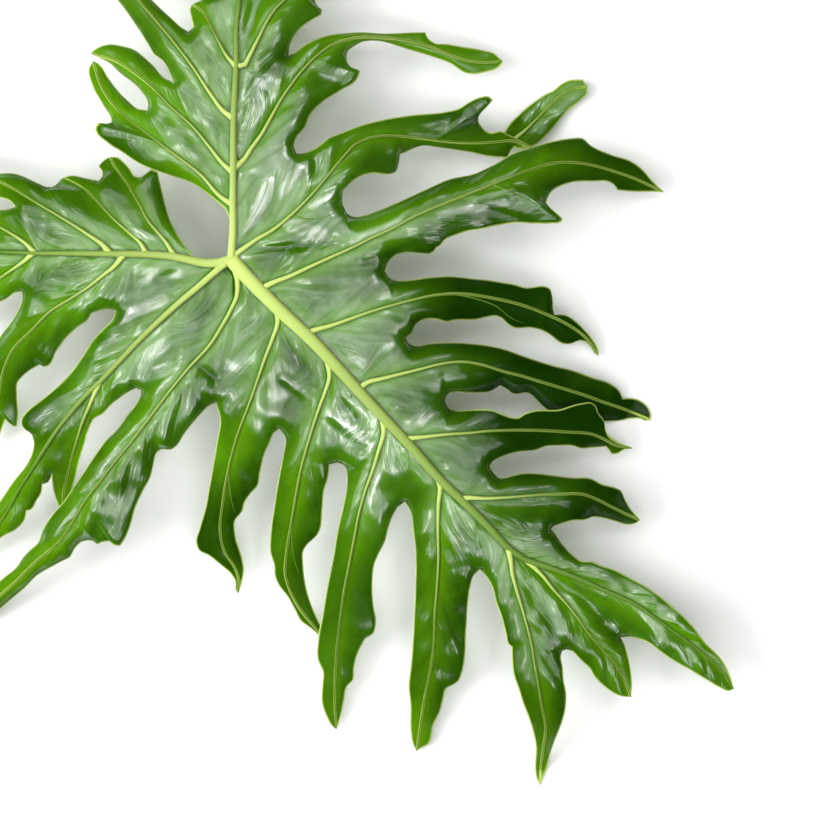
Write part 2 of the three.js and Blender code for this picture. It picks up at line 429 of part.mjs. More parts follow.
// A main vein with its stations: every place where a side vein or a gap seam leaves it
const mains = {};
for (const [name, vein] of Object.entries(MAIN_VEINS)) {
  const runs = vein.points.map(vein.along);
  const length = runs[runs.length - 1];
  mains[name] = {
    at: (s) => pointAt(vein.points, runs, s),
    half: (s) => mix(vein.half[0], vein.half[1], s / length),
    lift: (s) => mix(vein.lift[0], vein.lift[1], s / length),
    keel: (s) => mix(vein.keel[0], vein.keel[1], s / length),
    length,
    bends: runs,
    stations: new Set([0, length]),
  };
}
for (const { from, gap } of [...LOBES, { from: LAST_GAP.at, gap: LAST_GAP }]) {
  mains[from[0]].stations.add(from[1]);
  mains[gap.at[0]].stations.add(gap.at[1]);
}
for (const main of Object.values(mains)) {
  const clear = main.bends.filter((bend) => ![...main.stations].some((s) => Math.abs(s - bend) < 4));
  clear.forEach((bend) => main.stations.add(bend));
}

// Stations along the main vein from a gap's place to a lobe's place
function stationsBetween(gapAt, from) {
  const name = gapAt[1] > 0 ? gapAt[0] : from[0];
  const start = gapAt[0] === name ? gapAt[1] : 0;
  const end = from[0] === name ? from[1] : 0;
  const between = [...mains[name].stations].filter((s) => (s - start) * (s - end) <= 0);
  between.sort((a, b) => (start <= end ? a - b : b - a));
  return between.map((s) => [name, s]);
}

// One sheet: points with the level of the upper and the lower face
function newSheet() {
  return { points: [], keys: new Map(), faces: [] };
}

function place(sheet, [x, y, z], lift = 0, keel = 0) {
  const key = [x, y, z].map((value) => Math.round(value * 50)).join();
  if (!sheet.keys.has(key)) {
    sheet.keys.set(key, sheet.points.length);
    const level = Math.max(z, REST_LEVEL);
    const low = Math.max(0, level - BLADE_THICK / 2 - keel);
    sheet.points.push([x, y, low, Math.max(level + BLADE_THICK / 2 + lift, low + MIN_THICK)]);
  }
  return sheet.keys.get(key);
}

// Fills the strip between two lines that run the same way, folding no face over
function stitch(sheet, inner, outer, side) {
  const { points } = sheet;
  const cost = (a, b, c) => {
    if (a === b || b === c || a === c) {
      return 0;
    }
    const area = side * turn(points[a], points[b], points[c]);
    return span(points[b], points[c]) + (area < 0.05 ? 200 - 10 * area : 0);
  };
  const best = inner.map(() => outer.map(() => [Infinity, 0]));
  best[0][0] = [0, 0];
  inner.forEach((a, i) => outer.forEach((b, j) => {
    if (i > 0) {
      const total = best[i - 1][j][0] + cost(inner[i - 1], a, b);
      best[i][j] = total < best[i][j][0] ? [total, 1] : best[i][j];
    }
    if (j > 0) {
      const total = best[i][j - 1][0] + cost(outer[j - 1], a, b);
      best[i][j] = total < best[i][j][0] ? [total, 2] : best[i][j];
    }
  }));
  let i = inner.length - 1;
  let j = outer.length - 1;
  while (i > 0 || j > 0) {
    const face = best[i][j][1] === 1 ? [inner[i - 1], inner[i], outer[j]] : [outer[j - 1], inner[i], outer[j]];
    if (new Set(face).size === 3) {
      sheet.faces.push(side > 0 ? face : face.reverse());
    }
    if (best[i][j][1] === 1) {
      i -= 1;
    } else {
      j -= 1;
    }
  }
}

// Seam of the gap between two lobes: from the main vein's foot to the bottom of the gap
function seam({ at: [name, s], via = [], sinus }) {
  const start = mains[name].at(s);
  const line = [start, ...via, sinus].map((p) => p.slice(0, 2));
  const runs = lengths(line);
  const reach = runs[runs.length - 1];
  const main = mains[name];
  const end = s < 1 || s > main.length - 1;
  const slope = turn(main.at(s - 1), main.at(s + 1), [main.at(s - 1)[0] + line[1][0] - start[0],
    main.at(s - 1)[1] + line[1][1] - start[1]]);
  const lean = Math.abs(slope) / (span(main.at(s - 1), main.at(s + 1)) * span(line[1], start));
  const foot = Math.min(main.half(s) / (end ? 0.8 : Math.max(lean, 0.5)), reach / 3);
  const roll = Math.min(SINUS_ROLL, reach / 8);
  const stops = [foot];
  const steps = Math.max(1, Math.round((reach - SINUS_ROLL_REACH) / SEAM_STEP));
  for (let i = 1; i <= steps && reach > 12; i += 1) {
    stops.push(mix(foot, reach - SINUS_ROLL_REACH, i / steps));
  }
  return [...stops, reach].map((d) => {
    const w = d / reach;
    const z = mix(start[2], sinus[2] + roll, w) + PANEL_CROWN * Math.sin(Math.PI * w) * clamp01(reach / 30);
    const fall = roll * clamp01(1 - (reach - d) / SINUS_ROLL_REACH) ** 2;
    return [...pointAt(line, runs, d), z - fall];
  });
}

// Distance from a point to a line
function distance(line, p) {
  let least = Infinity;
  for (let i = 1; i < line.length; i += 1) {
    const [a, b] = [line[i - 1], line[i]];
    const t = clamp01(((p[0] - a[0]) * (b[0] - a[0]) + (p[1] - a[1]) * (b[1] - a[1])) / span(a, b) ** 2);
    least = Math.min(least, span(mixPoint(a.slice(0, 2), b, t), p));
  }
  return least;
}

// Line at a vein's foot on one side, from the first seam point to the tip
function footLine(centre, corner, outer, side) {
  const [first, second] = outer;
  const origin = centre[corner];
  const tip = centre[centre.length - 1];
  const feet = [];
  for (let i = 1; i < centre.length - 1; i += 1) {
    const [p, q, r] = centre.slice(i - 1, i + 2);
    const before = span(p, q);
    const after = span(q, r);
    const n1 = [side * (p[1] - q[1]) / before, side * (q[0] - p[0]) / before];
    const n2 = [side * (q[1] - r[1]) / after, side * (r[0] - q[0]) / after];
    const most = i > corner ? distance(outer, q) * 0.4 : Infinity;
    const h1 = i === corner ? p[3] : Math.min(q[3], most);
    const h2 = i === corner ? r[3] : Math.min(q[3], most);
    const det = n1[0] * n2[1] - n1[1] * n2[0];
    const shift = Math.abs(det) > 0.4
      ? [(h1 * n2[1] - h2 * n1[1]) / det, (h2 * n1[0] - h1 * n2[0]) / det]
      : [(n1[0] * h1 + n2[0] * h2) / 2, (n1[1] * h1 + n2[1] * h2) / 2];
    feet.push([q[0] + shift[0], q[1] + shift[1], q[2], i]);
  }
  const bend = feet.find((p) => p[3] === corner) ?? first;
  const reach = span(bend, origin) + 0.8;
  const kept = feet.filter((p) => {
    if (p === bend) {
      return true;
    }
    const q = centre[p[3]];
    const inside = -side * turn(first, second, p) > 0.5 * span(first, second) || span(p, first) > 15;
    if (p[3] > corner) {
      return span(q, origin) > reach && inside;
    }
    const ahead = (p[0] - first[0]) * (origin[0] - centre[0][0]) + (p[1] - first[1]) * (origin[1] - centre[0][1]);
    return inside && span(p, bend) > 2.5 && span(q, origin) > reach && ahead > 1.5 * span(origin, centre[0]);
  });
  return [first, ...kept.map((p) => p.slice(0, 3)), tip.slice(0, 3)];
}

// Chooses where each row to the outer line leaves the foot line, so that no strip folds over
function rowStarts(foot, outer, side) {
  const runs = lengths(foot);
  const total = runs[runs.length - 1];
  const samples = Array.from({ length: ROW_CHOICES }, (_, i) => (i / (ROW_CHOICES - 1)) * total);
  const starts = samples.map((s) => pointAt(foot, runs, s));
  const folded = (value, size) => (value < 0.08 * size ? 30 + 30 * (0.08 - value / size) : 0);
  const cost = (a, b, c, d) => {
    const edge = span(b, d);
    let sum = 0;
    sum += folded(side * turn(b, a, d), span(a, b) * edge);
    sum += folded(side * turn(b, c, d), span(c, d) * edge);
    const step = span(a, c);
    if (step > 0.01) {
      sum += folded(side * turn(a, c, b), span(a, b) * step);
      sum += folded(side * turn(a, c, d), span(c, d) * step);
    }
    return sum;
  };
  let best = samples.map((_, i) => (i === 0 ? 0 : Infinity));
  const trace = [];
  for (let k = 1; k < outer.length - 1; k += 1) {
    const next = [Infinity];
    const from = [0];
    for (let i = 1; i < samples.length - 1; i += 1) {
      let low = [Infinity, 0];
      for (let j = 0; j <= i; j += 1) {
        if (best[j] < low[0]) {
          const sum = best[j] + cost(starts[j], outer[k - 1], starts[i], outer[k]) + (i === j ? 0.3 : 0);
          low = sum < low[0] ? [sum, j] : low;
        }
      }
      next.push(low[0] + span(starts[i], outer[k]) * 0.15);
      from.push(low[1]);
    }
    next.push(Infinity);
    best = next;
    trace.push(from);
  }
  let i = best.indexOf(Math.min(...best));
  const chosen = [];
  for (let k = trace.length - 1; k >= 0; k -= 1) {
    chosen.unshift(starts[i]);
    i = trace[k][i];
  }
  return chosen;
}

// One half of a lobe, from its vein to its seam and margin
function halfLobe(sheet, lobe, side) {
  const gap = side > 0 ? lobe.gap : lobe.nextGap;
  const drop = side > 0 ? lobe.fall[0] : lobe.fall[1];
  const given = side > 0 ? lobe.rise : [...lobe.back].reverse();
  const tip = lobe.centre[lobe.centre.length - 1];
  const seamLine = gap ? seam(gap) : [lobe.centre[0].slice(0, 3)];
  const sinus = seamLine[seamLine.length - 1];
  const margin = closer(plainer([sinus, ...given, tip].map((p) => p.slice(0, 2)), MARGIN_TOLERANCE));
  const roots = gap ? stationsBetween(gap.at, lobe.from) : [];
  const rootPoints = roots.map(([name, s]) => [...mains[name].at(s), mains[name].half(s)]);
  const centre = [...(gap ? rootPoints : [lobe.centre[0]]), ...lobe.centre.slice(1)];
  const corner = gap ? rootPoints.length - 1 : 0;
  const outer = [...seamLine.slice(0, -1), ...margin];
  outer[0] = seamLine[0];
  const foot = footLine(centre, corner, outer, side);
  const starts = rowStarts(foot, outer, side);
  const marginRuns = lengths(margin);
  const marginTotal = marginRuns[marginRuns.length - 1];

  const edge = [place(sheet, seamLine[0])];
  const middle = [edge[0]];
  for (let k = 1; k < outer.length - 1; k += 1) {
    const root = starts[k - 1];
    const onSeam = k < seamLine.length;
    const m = onSeam ? 0 : marginRuns[k - seamLine.length + 1] / marginTotal;
    const free = smooth(clamp01(m / 0.3));
    const z = onSeam ? seamLine[k][2] : mix(sinus[2], root[2] - drop * (1 - m ** 3), free);
    const end = [outer[k][0], outer[k][1], z];
    edge.push(place(sheet, end));
    const [x, y] = mixPoint(root, end, 0.55);
    middle.push(place(sheet, [x, y, mix(root[2], z, mix(smooth(0.55), 0.55 ** 2, free))]));
  }
  const tipId = lobe.ids[lobe.ids.length - 1];
  edge.push(tipId);
  middle.push(tipId);
  const footIds = [edge[0], ...foot.slice(1, -1).map((p) => place(sheet, p)), tipId];
  const centreIds = [...roots.map(([name, s]) => mainPoint(sheet, name, s)), ...lobe.ids.slice(gap ? 1 : 0)];
  stitch(sheet, centreIds, footIds, side);
  if (lobe.wide) {
    stitch(sheet, footIds, middle, side);
    stitch(sheet, middle, edge, side);
  } else {
    stitch(sheet, footIds, edge, side);
  }
}

function mainPoint(sheet, name, s) {
  return place(sheet, mains[name].at(s), mains[name].lift(s), mains[name].keel(s));
}

function addLobe(sheet, lobe) {
  const [name, s] = lobe.from ?? [];
  const origin = lobe.start ?? mains[name].at(s);
  const line = [origin, ...lobe.vein];
  const runs = lengths(line);
  const total = runs[runs.length - 1];
  const heightAt = heightCurve([origin[2], ...lobe.heights]);
  const least = name ? mains[name].half(s) + 2 : 0;
  const stops = [0, ...runs.slice(1).filter((run) => run > least)];
  const centre = stops.map((run) => {
    const t = run / total;
    const [x, y] = pointAt(line.map((p) => p.slice(0, 2)), runs, run);
    return [x, y, heightAt(t), mix(SIDE_VEIN_HALF[0], SIDE_VEIN_HALF[1], t)];
  });
  const ids = centre.map((p, i) => {
    if (i === 0 && name) {
      return mainPoint(sheet, name, s);
    }
    const share = 1 - stops[i] / total;
    return place(sheet, p, SIDE_VEIN_LIFT * mix(0.2, 1, share), SIDE_VEIN_LIFT * share);
  });
  halfLobe(sheet, { ...lobe, centre, ids }, 1);
  halfLobe(sheet, { ...lobe, centre, ids }, -1);
}

// Closes a sheet into a solid: both faces alike, and a wall round every open edge
function solid(wasm, sheet) {
  const count = sheet.points.length;
  const vertices = new Float32Array([
    ...sheet.points.flatMap(([x, y, , high]) => [x, y, high]),
    ...sheet.points.flatMap(([x, y, low]) => [x, y, low]),
  ]);
  const faces = sheet.faces.flatMap(([a, b, c]) => [[a, b, c], [a + count, c + count, b + count]]);
  const edges = new Set(sheet.faces.flatMap(([a, b, c]) => [`${a},${b}`, `${b},${c}`, `${c},${a}`]));
  for (const edge of edges) {
    const [a, b] = edge.split(',').map(Number);
    if (!edges.has(`${b},${a}`)) {
      faces.push([b, a, a + count], [b, a + count, b + count]);
    }
  }
  const mesh = new wasm.Mesh({ numProp: 3, vertProperties: vertices, triVerts: new Uint32Array(faces.flat()) });
  return new wasm.Manifold(mesh);
}

// Short stub of the cut leaf stem under the point where the veins meet
function stem(wasm) {
  const [dx, dy] = STEM_LEAN;
  const tube = wasm.Manifold.cylinder(STEM_LENGTH, STEM_CUT_RADIUS, STEM_TOP_RADIUS, 18);
  return tube.warp((p) => {
    const down = 1 - p[2] / STEM_LENGTH;
    p[0] += 3 + dx * down;
    p[1] += -3.5 + dy * down;
    p[2] += MAIN_VEINS.front.points[0][2] - STEM_LENGTH;
  });
}

function leafSheet() {
  const sheet = newSheet();
  LOBES.forEach((lobe, i) => {
    const nextGap = i + 1 < LOBES.length ? LOBES[i + 1].gap : LAST_GAP;
    addLobe(sheet, { ...lobe, nextGap, wide: true });
  });
  for (const { gap, edge, side } of BARE_EDGES) {
    const roots = stationsBetween(['front', 0], gap.at);
    const [foot] = seam(gap);
    const inner = [...roots.map(([name, s]) => mainPoint(sheet, name, s)), place(sheet, foot)];
    const level = (p) => mains[gap.at[0]].at(Math.hypot(p[0], p[1]))[2];
    const outer = [NOTCH, ...edge].map(([x, y]) => place(sheet, [x, y, level([x, y])]));
    stitch(sheet, inner, [...outer, place(sheet, seam(gap)[seam(gap).length - 1])], side);
  }
  return sheet;
}

export default await (async () => {
  const wasm = await Module();
  wasm.setup();
  const folded = newSheet();
  addLobe(folded, FOLDED_END);
  const leaf = solid(wasm, leafSheet()).add(solid(wasm, folded)).add(stem(wasm));
  const shape = leaf.translate([...CENTRE_SHIFT, 0]).getMesh();
  const geometry = new THREE.BufferGeometry();
  geometry.setAttribute('position', new THREE.BufferAttribute(new Float32Array(shape.vertProperties), 3));
  geometry.setIndex([...shape.triVerts]);
  const finish = new THREE.MeshStandardMaterial({ color: 0x3f7a1e, roughness: 0.35 });
  const mesh = new THREE.Mesh(geometry, finish);
  mesh.name = 'leaf';
  const group = new THREE.Group();
  group.name = 'philodendron_leaf';
  group.add(mesh);
  return group;
})();
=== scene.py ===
"""Cut split-leaf philodendron leaf, lying face up on a pale surface"""

import math

import bmesh
import bpy
import numpy as np
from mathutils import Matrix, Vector, kdtree, noise


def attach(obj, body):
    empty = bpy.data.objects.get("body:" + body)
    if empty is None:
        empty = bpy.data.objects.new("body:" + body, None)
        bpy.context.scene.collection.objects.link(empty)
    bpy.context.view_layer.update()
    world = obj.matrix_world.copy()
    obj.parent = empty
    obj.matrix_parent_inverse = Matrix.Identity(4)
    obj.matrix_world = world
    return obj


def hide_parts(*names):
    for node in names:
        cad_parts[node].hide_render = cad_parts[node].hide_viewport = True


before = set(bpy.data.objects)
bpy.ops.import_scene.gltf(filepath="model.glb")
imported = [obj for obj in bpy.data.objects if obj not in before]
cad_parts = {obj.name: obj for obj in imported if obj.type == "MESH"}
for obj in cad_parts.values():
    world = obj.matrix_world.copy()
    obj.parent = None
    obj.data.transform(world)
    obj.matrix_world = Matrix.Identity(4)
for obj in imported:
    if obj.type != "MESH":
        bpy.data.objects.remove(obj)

bl_info = {
    "name": "Philodendron Leaf",
    "version": (1, 0, 0),
    "blender": (4, 5, 0),
    "location": "View3D > Sidebar > Leaf",
    "description": "Builds a glossy split leaf with raised veins on a pale floor",
    "category": "Add Mesh",
}

# Lengths below are in millimetres, measured from the point where the main veins meet
MM = 0.001
SHIFT = (-41.2, 33.6)
REST_LEVEL = 0.5
FLOOR_CLEARANCE = 0.02

# How the blade rolls down at the bottom of a gap and swells between its veins
SINUS_ROLL = 3.5
SINUS_ROLL_REACH = 6
PANEL_CROWN = 0.5

# How finely the blade and the veins are laid out, joined and smoothed
ROW_CHOICES = 81
SEAM_STEP = 1.2
ROW_STEP = 1.8
COLUMN_STEP = 1.6
VEIN_STEP = 2
BLADE_MERGE = 0.02
RIB_MERGE = 0.005
SMOOTHING_PASSES = 4

# How far from a vein and from a seam the blade stays calm, and how deep it dips beside a vein
CALM_BY_VEIN = 5
CALM_BY_SEAM = 7
GROOVE_DEPTH = 0.5

# The Growth map holds a hundredth of the distance along and out from a lobe's vein, and each half of a lobe
# starts this much further along, so that no two have the same grain
GROWTH_SCALE = 0.01
HALF_APART = 150

# Sizes of the patterns in the blade: clouds of green, waves, and streaks along and out from the veins
CLOUD_SIZE = 41.667
WAVE_SIZE = 13.333
STREAK_WIDTH = 10
STREAK_LENGTH = 20
BUMP_HEIGHT = 0.9

# The stem stub: its length, the middle of its top, and how far it leans over that length
STEM_LENGTH = 27
STEM_TOP = (3, -3.5, 46)
STEM_LEAN = (3.5, -4.5)

# The camera, over this place, with its height in metres
CAMERA_OVER = (94, -80)
CAMERA_HEIGHT = 3.03
CAMERA_LENS = 257

# Main veins: points [x, y, height], coordinate that measures along each, half width, lift and keel at both
# ends, and the lobe whose own vein carries the main vein on
MAIN_VEINS = {
    "front": {
        "points": [[0, 0, 46], [10, -11, 47], [25, -26, 48.5], [40, -40, 50], [55, -56, 50.5],
                   [70, -72.5, 50.5], [88, -91.5, 49.5], [104, -109.5, 47.5], [116, -121, 45.5],
                   [128, -133, 42.5],
                   [139, -144.5, 39], [147, -150, 36.5]],
        "along": (0, 1), "half": (3.8, 1.7), "lift": (1.8, 1), "keel": (3.4, 1.6), "next": "frontTip",
    },
    "back": {
        "points": [[0, 0, 46], [1, 15, 47], [1, 30, 48], [1.2, 50, 48.5], [1.3, 70, 47.5], [2, 85, 46],
                   [2.5, 96, 44.5]],
        "along": (1, 1), "half": (2, 1.5), "lift": (1.3, 0.9), "keel": (2.4, 1.5), "next": "topMiddle",
    },
    "left": {
        "points": [[0, 0, 46], [-5, -1.5, 46.4], [-12, -2, 47], [-20, -0.5, 47.6], [-28, 1.2, 48],
                   [-42, 2.4, 48], [-60, 2.7, 46.5], [-80, 3, 44], [-99, 3.2, 41], [-118, 4, 38]],
        "along": (0, -1), "half": (2.3, 0.9), "lift": (1.3, 0.8), "keel": (2.4, 1.3), "next": "leftEnd",
    },
    "low": {
        "points": [[0, 0, 46], [-8, -6.5, 47.2], [-16, -13.5, 47.6], [-25, -21, 47.2], [-35, -30, 46.2],
                   [-45, -39.5, 44.8], [-55, -50, 43], [-66, -61.5, 40.5]],
        "along": (0, -1), "half": (1.7, 1.3), "lift": (1, 0.9), "keel": (1.8, 1.4), "next": "sideOuter",
    },
}

# Lobes in clockwise order from the stem notch. Each has the main vein and place it leaves, its own vein,
# heights at a third, two thirds and the tip, the fall of its two margins, and the gap before it: where the
# gap's seam leaves a main vein and the bottom of the gap. Margins run clockwise.
LOBES = [
    {
        "name": "backInner", "from": ["back", 27], "gap": {"at": ["back", 21], "sinus": [-1.3, 21, 46.8]},
        "vein": [[-5, 31], [-15, 42], [-25, 50], [-35, 57.5], [-45, 65], [-55, 73], [-62, 81], [-67, 90],
            [-70, 100]],
        "heights": [44, 35, 21], "fall": [5, 4],
        "rise": [[-2.5, 24.5], [-5, 27], [-10, 31.5], [-20, 38.5], [-30, 42], [-36, 44], [-45, 47.5],
            [-55, 54], [-60, 57], [-64.5, 60.5], [-67.5, 63], [-68, 66], [-66.5, 68.3], [-63, 67.5],
            [-60.3, 68.5], [-60.3, 70.5], [-64, 77], [-70, 87], [-72, 96.5]],
        "back": [[-68, 99], [-62, 90.5], [-54, 81], [-46, 75]],
    },
    {
        "name": "backMiddle", "from": ["back", 43], "gap": {"at": ["back", 35], "sinus": [-42, 74.5, 35]},
        "vein": [[-4, 47.5], [-10, 55], [-20, 67], [-30, 76], [-40, 86.5], [-50, 94.5], [-58, 99.5],
            [-71, 103.8]],
        "heights": [45, 37, 25], "fall": [4, 4],
        "rise": [[-41.5, 77], [-46, 85.5], [-56, 94], [-62, 99.5], [-67, 102]],
        "back": [[-69, 105.5], [-66, 107], [-61, 108], [-55, 107], [-49, 105], [-45, 102], [-40, 97.5],
            [-32, 89.5]],
    },
    {
        "name": "backOuter", "from": ["back", 70], "gap": {"at": ["back", 57], "sinus": [-29, 88.5, 38]},
        "vein": [[-4, 74], [-10, 82], [-20, 97], [-30, 110], [-40, 122], [-47, 130], [-55, 138.5],
            [-60.5, 145], [-65, 151], [-69.5, 158.5], [-73, 167]],
        "heights": [42, 32, 12], "fall": [5, 4],
        "rise": [[-30, 91.5], [-35, 100], [-38.5, 102.5], [-41, 106.5], [-46, 114.5], [-57, 130], [-63, 137],
            [-68, 143], [-68, 149], [-71, 158]],
        "back": [[-68, 158], [-62, 150], [-56, 146], [-49, 139.5], [-40, 129.5], [-30, 120], [-25, 115.5]],
    },
    {
        "name": "topTooth", "from": ["back", 96], "gap": {"at": ["back", 85], "sinus": [-21.5, 113.5, 36.5]},
        "vein": [[-2, 101], [-6, 108], [-10, 116], [-13, 122], [-19.5, 127.5]],
        "heights": [43.5, 41, 36], "fall": [2, 2],
        "rise": [[-19, 116], [-20, 121], [-20.7, 125]],
        "back": [[-17.5, 128.3], [-14, 130]],
    },
    {
        "name": "topMiddle", "from": ["back", 96], "gap": {"at": ["back", 96], "sinus": [-11, 133.5, 34]},
        "vein": [[2.5, 105], [2.5, 115], [3.5, 125], [5, 138], [6, 152], [7, 166], [8, 180], [10, 197]],
        "heights": [39.5, 25, -6], "fall": [5, 5],
        "rise": [[-10, 138], [-11.5, 145], [-14.5, 150], [-13, 157], [-9, 163], [-5, 171], [-1, 180],
            [4, 190]],
        "back": [[14, 189], [19, 180], [22, 171], [26.5, 166], [27, 160], [23, 154]],
    },
    {
        "name": "topRight", "from": ["back", 96], "gap": {"at": ["back", 96], "sinus": [20.5, 149, 29]},
        "vein": [[7, 97], [10, 103], [14, 111], [18, 119], [22, 125], [28, 131], [35, 139], [43, 148],
            [52, 158], [63, 171]],
        "heights": [41, 30, 10], "fall": [4, 5],
        "rise": [[24, 153], [30, 157], [37, 163], [42, 164], [48, 167], [56, 171]],
        "back": [[62, 164], [59, 156], [55, 150], [51, 142], [46, 137], [41.2, 131], [41.5, 128],
            [44.7, 125], [44.5, 122.5], [41, 120.5], [34, 115.5], [30.5, 111], [28.5, 105.5]],
    },
    {
        "name": "rightStrap", "from": ["back", 45], "gap": {"at": ["back", 72], "sinus": [28.3, 102, 36]},
        "vein": [[6, 49], [10, 55], [15, 62], [20, 71], [25, 80], [30, 87.5], [35, 94], [40, 99.5],
            [45, 104], [50, 107.5], [56, 109.7], [65, 111.6], [75, 111.4], [85, 110.6], [95, 108.6],
            [105, 105], [115, 101.2], [125, 99.8], [135.5, 100.5]],
        "heights": [40, 27, 12], "fall": [3, 4],
        "rise": [[31, 103], [35, 106], [39, 108.5], [48, 112], [55, 113], [65, 113.7], [75, 113.2],
            [90, 114], [96.5, 114.3], [97, 112.6], [101, 109], [108, 108.5], [115, 107.5], [125, 106],
            [131, 104.5]],
        "back": [[134.5, 98.5], [132, 96.5], [127, 95], [122, 94], [117, 94.5], [109, 99.5], [100, 102.7],
            [90, 105.5], [70, 110.4], [66, 110], [61, 107.5], [57.5, 104.5], [57.3, 99], [59.5, 96],
            [64, 94.3], [62.5, 90.5], [54, 84.5], [45, 78.5], [39, 72], [36.5, 66], [32, 60.5], [31, 56]],
    },
    {
        "name": "rightFork", "from": ["front", 0], "gap": {"at": ["back", 24], "sinus": [32.5, 52.3, 42.5]},
        "vein": [[3, 3], [8, 6.5], [13, 10], [20, 14], [30, 22], [40, 32], [46, 39], [52, 46.5], [57, 52.5],
            [61, 57], [66, 59.8], [72, 61.5], [80, 62], [95, 61], [110, 59.5], [125, 59.3], [134, 60],
            [139, 60.6], [144, 59.7], [151, 57]],
        "heights": [46, 29, 8], "fall": [3, 4],
        "rise": [[36, 52.7], [43, 56], [48, 60], [55, 63], [65, 67], [76, 70], [90, 72.5], [108, 74.5],
            [113, 75.8], [121, 80.5], [125, 82], [128.5, 82.2], [130.5, 80.5], [128, 77.5], [125, 75],
            [123, 72], [123, 70], [124.5, 67.5], [127, 65], [130, 64.2], [134, 65.3], [138, 63.5],
            [144, 60.9]],
        "back": [[146.5, 58.2], [143, 58.5], [141, 57.3], [138.5, 54], [137.5, 52], [130, 52.5], [118, 55],
            [103, 57], [95, 57.8], [91, 56.5], [87, 54.5], [83.5, 53], [82.7, 47], [81.3, 43.8], [79, 43],
            [70, 43], [65, 42], [58, 37], [55.5, 34], [55, 30]],
    },
    {
        "name": "rightBroad", "from": ["front", 14], "gap": {"at": ["front", 8], "sinus": [55.3, 27, 43]},
        "vein": [[22, -11.2], [28, -9], [40, -3.5], [50, 1], [60, 5.5], [70, 10.5], [80, 15], [90, 20.5],
            [100, 25], [110, 29], [120, 33], [130, 37], [140, 41], [150, 45], [160, 48], [170, 48.7],
            [180, 47.5], [190, 45], [200, 42], [216.5, 35]],
        "heights": [50, 45, 9], "fall": [6, 4],
        "rise": [[57.5, 22.5], [60.5, 21], [66, 21.5], [72, 23.5], [84, 28.5], [95, 33.5], [110, 40],
            [120, 42], [130, 46.5], [140, 52.5], [150, 56], [160, 59], [170, 60.7], [175, 60.8], [179, 57.5],
            [190, 52.8], [200, 49.8], [206, 45.5], [210, 41]],
        "back": [[213, 35.1], [200, 35], [193, 35.3], [191, 38], [189, 39.2], [180, 39.5], [170, 39],
            [165, 37.3], [160, 34.5], [157.5, 31], [156.5, 28], [159, 25], [162, 22.5], [165, 20],
            [164, 18.5], [160, 18], [140, 18], [131, 16.8], [124, 15], [117, 14], [111, 12], [106, 9.5],
            [104, 7], [102, 6], [101, 4.3], [99, 3], [95, 3.2], [85, 3.4], [82, 2.5], [79, 0], [77, -3]],
    },
    {
        "name": "rightSecond", "from": ["front", 37], "gap": {"at": ["front", 26], "sinus": [76.2, -6, 43]},
        "vein": [[42, -35.2], [50, -33], [60, -29.5], [70, -26], [80, -23], [90, -20.3], [100, -18],
            [110, -17], [120, -17.4], [130, -19], [140, -21], [150, -24], [160, -28], [170, -33], [178, -39],
            [184, -47.3]],
        "heights": [47, 27, 3], "fall": [4, 4],
        "rise": [[78, -9], [81, -10.6], [85, -10.8], [100, -9], [110, -8.5], [120, -9.5], [130, -10.5],
            [140, -12], [148, -13.8], [152, -13.2], [156, -12.8], [159, -14], [160, -17], [160.5, -24],
            [161.2, -27.3], [168, -27.6], [171, -29.5], [177, -35], [181, -39.5], [183.5, -44]],
        "back": [[182, -46], [180, -43], [177, -40.3], [174, -39.8], [170, -41.3], [167, -41.6],
            [164, -40.7], [160, -37.5], [155, -34.8], [150, -33.5], [140, -33.2], [138, -32], [135, -29],
            [132, -27.7], [128, -28], [122, -29.6], [110, -30.3], [107, -31], [103, -29.8], [98, -29.4],
            [94, -30.5], [91, -33], [90, -35.8]],
    },
    {
        "name": "rightThird", "from": ["front", 63], "gap": {"at": ["front", 50], "sinus": [86.5, -39, 41.5]},
        "vein": [[68, -61.3], [75, -59.5], [85, -57], [95, -54.5], [105, -52], [115, -51], [125, -52.5],
            [135, -55.5], [145, -58], [155, -61], [165, -64], [175, -67], [185, -70.5], [197, -74.5],
            [210.3, -79.8]],
        "heights": [46, 26, -6], "fall": [4, 10],
        "rise": [[87.8, -41.7], [92, -43.3], [98, -42.3], [105, -41.8], [115, -41.8], [125, -42.7],
            [135, -44.5], [145, -48], [160, -52.7], [170, -55], [180, -58.5], [190, -61.8], [194, -65],
            [196, -69.1], [200, -69], [204, -69.7], [208, -72.3], [210.5, -77]],
        "back": [[207.5, -80.4], [205.5, -79.4], [202, -79.2], [195, -80], [180, -80.2], [170, -78.7],
            [163, -77.2], [158, -74.7], [154, -71], [151, -67.8], [149, -66.3], [140, -66.2], [138, -64.5],
            [134, -62.2], [129, -65.3], [124, -66], [116, -66], [111, -65.8], [108, -66.6], [106.4, -68.5]],
    },
    {
        "name": "rightFourth", "from": ["front", 86],
        "gap": {"at": ["front", 74], "sinus": [106.2, -71, 41.5]},
        "vein": [[91, -88.9], [97, -88.3], [107, -87.2], [118, -86.5], [128, -85.5], [140, -85.1],
            [155, -85.2], [168, -86], [180, -87], [188, -90.3], [193, -93], [197, -93.6], [201, -94.2]],
        "heights": [46, 31, 6], "fall": [0, 4],
        "rise": [[107.3, -73.5], [110, -75.1], [120, -75], [130, -75.2], [136, -77.5], [140, -78.7],
            [143, -78.7], [146, -76.8], [150, -75.5], [165, -74.5], [170, -72.8], [175, -71.6], [180, -71.3],
            [182, -72.8], [183, -76], [186.3, -80.3], [187, -84.5], [188.5, -87.5], [192, -90.3],
            [197, -92.7]],
        "back": [[198.5, -94.3], [196.5, -94.8], [193.5, -96.7], [190.5, -97], [189, -94.8], [187.5, -92.9],
            [180, -93.7], [174, -94], [171, -92.9], [163, -92.7], [156, -93.2], [152, -94.8], [142, -96],
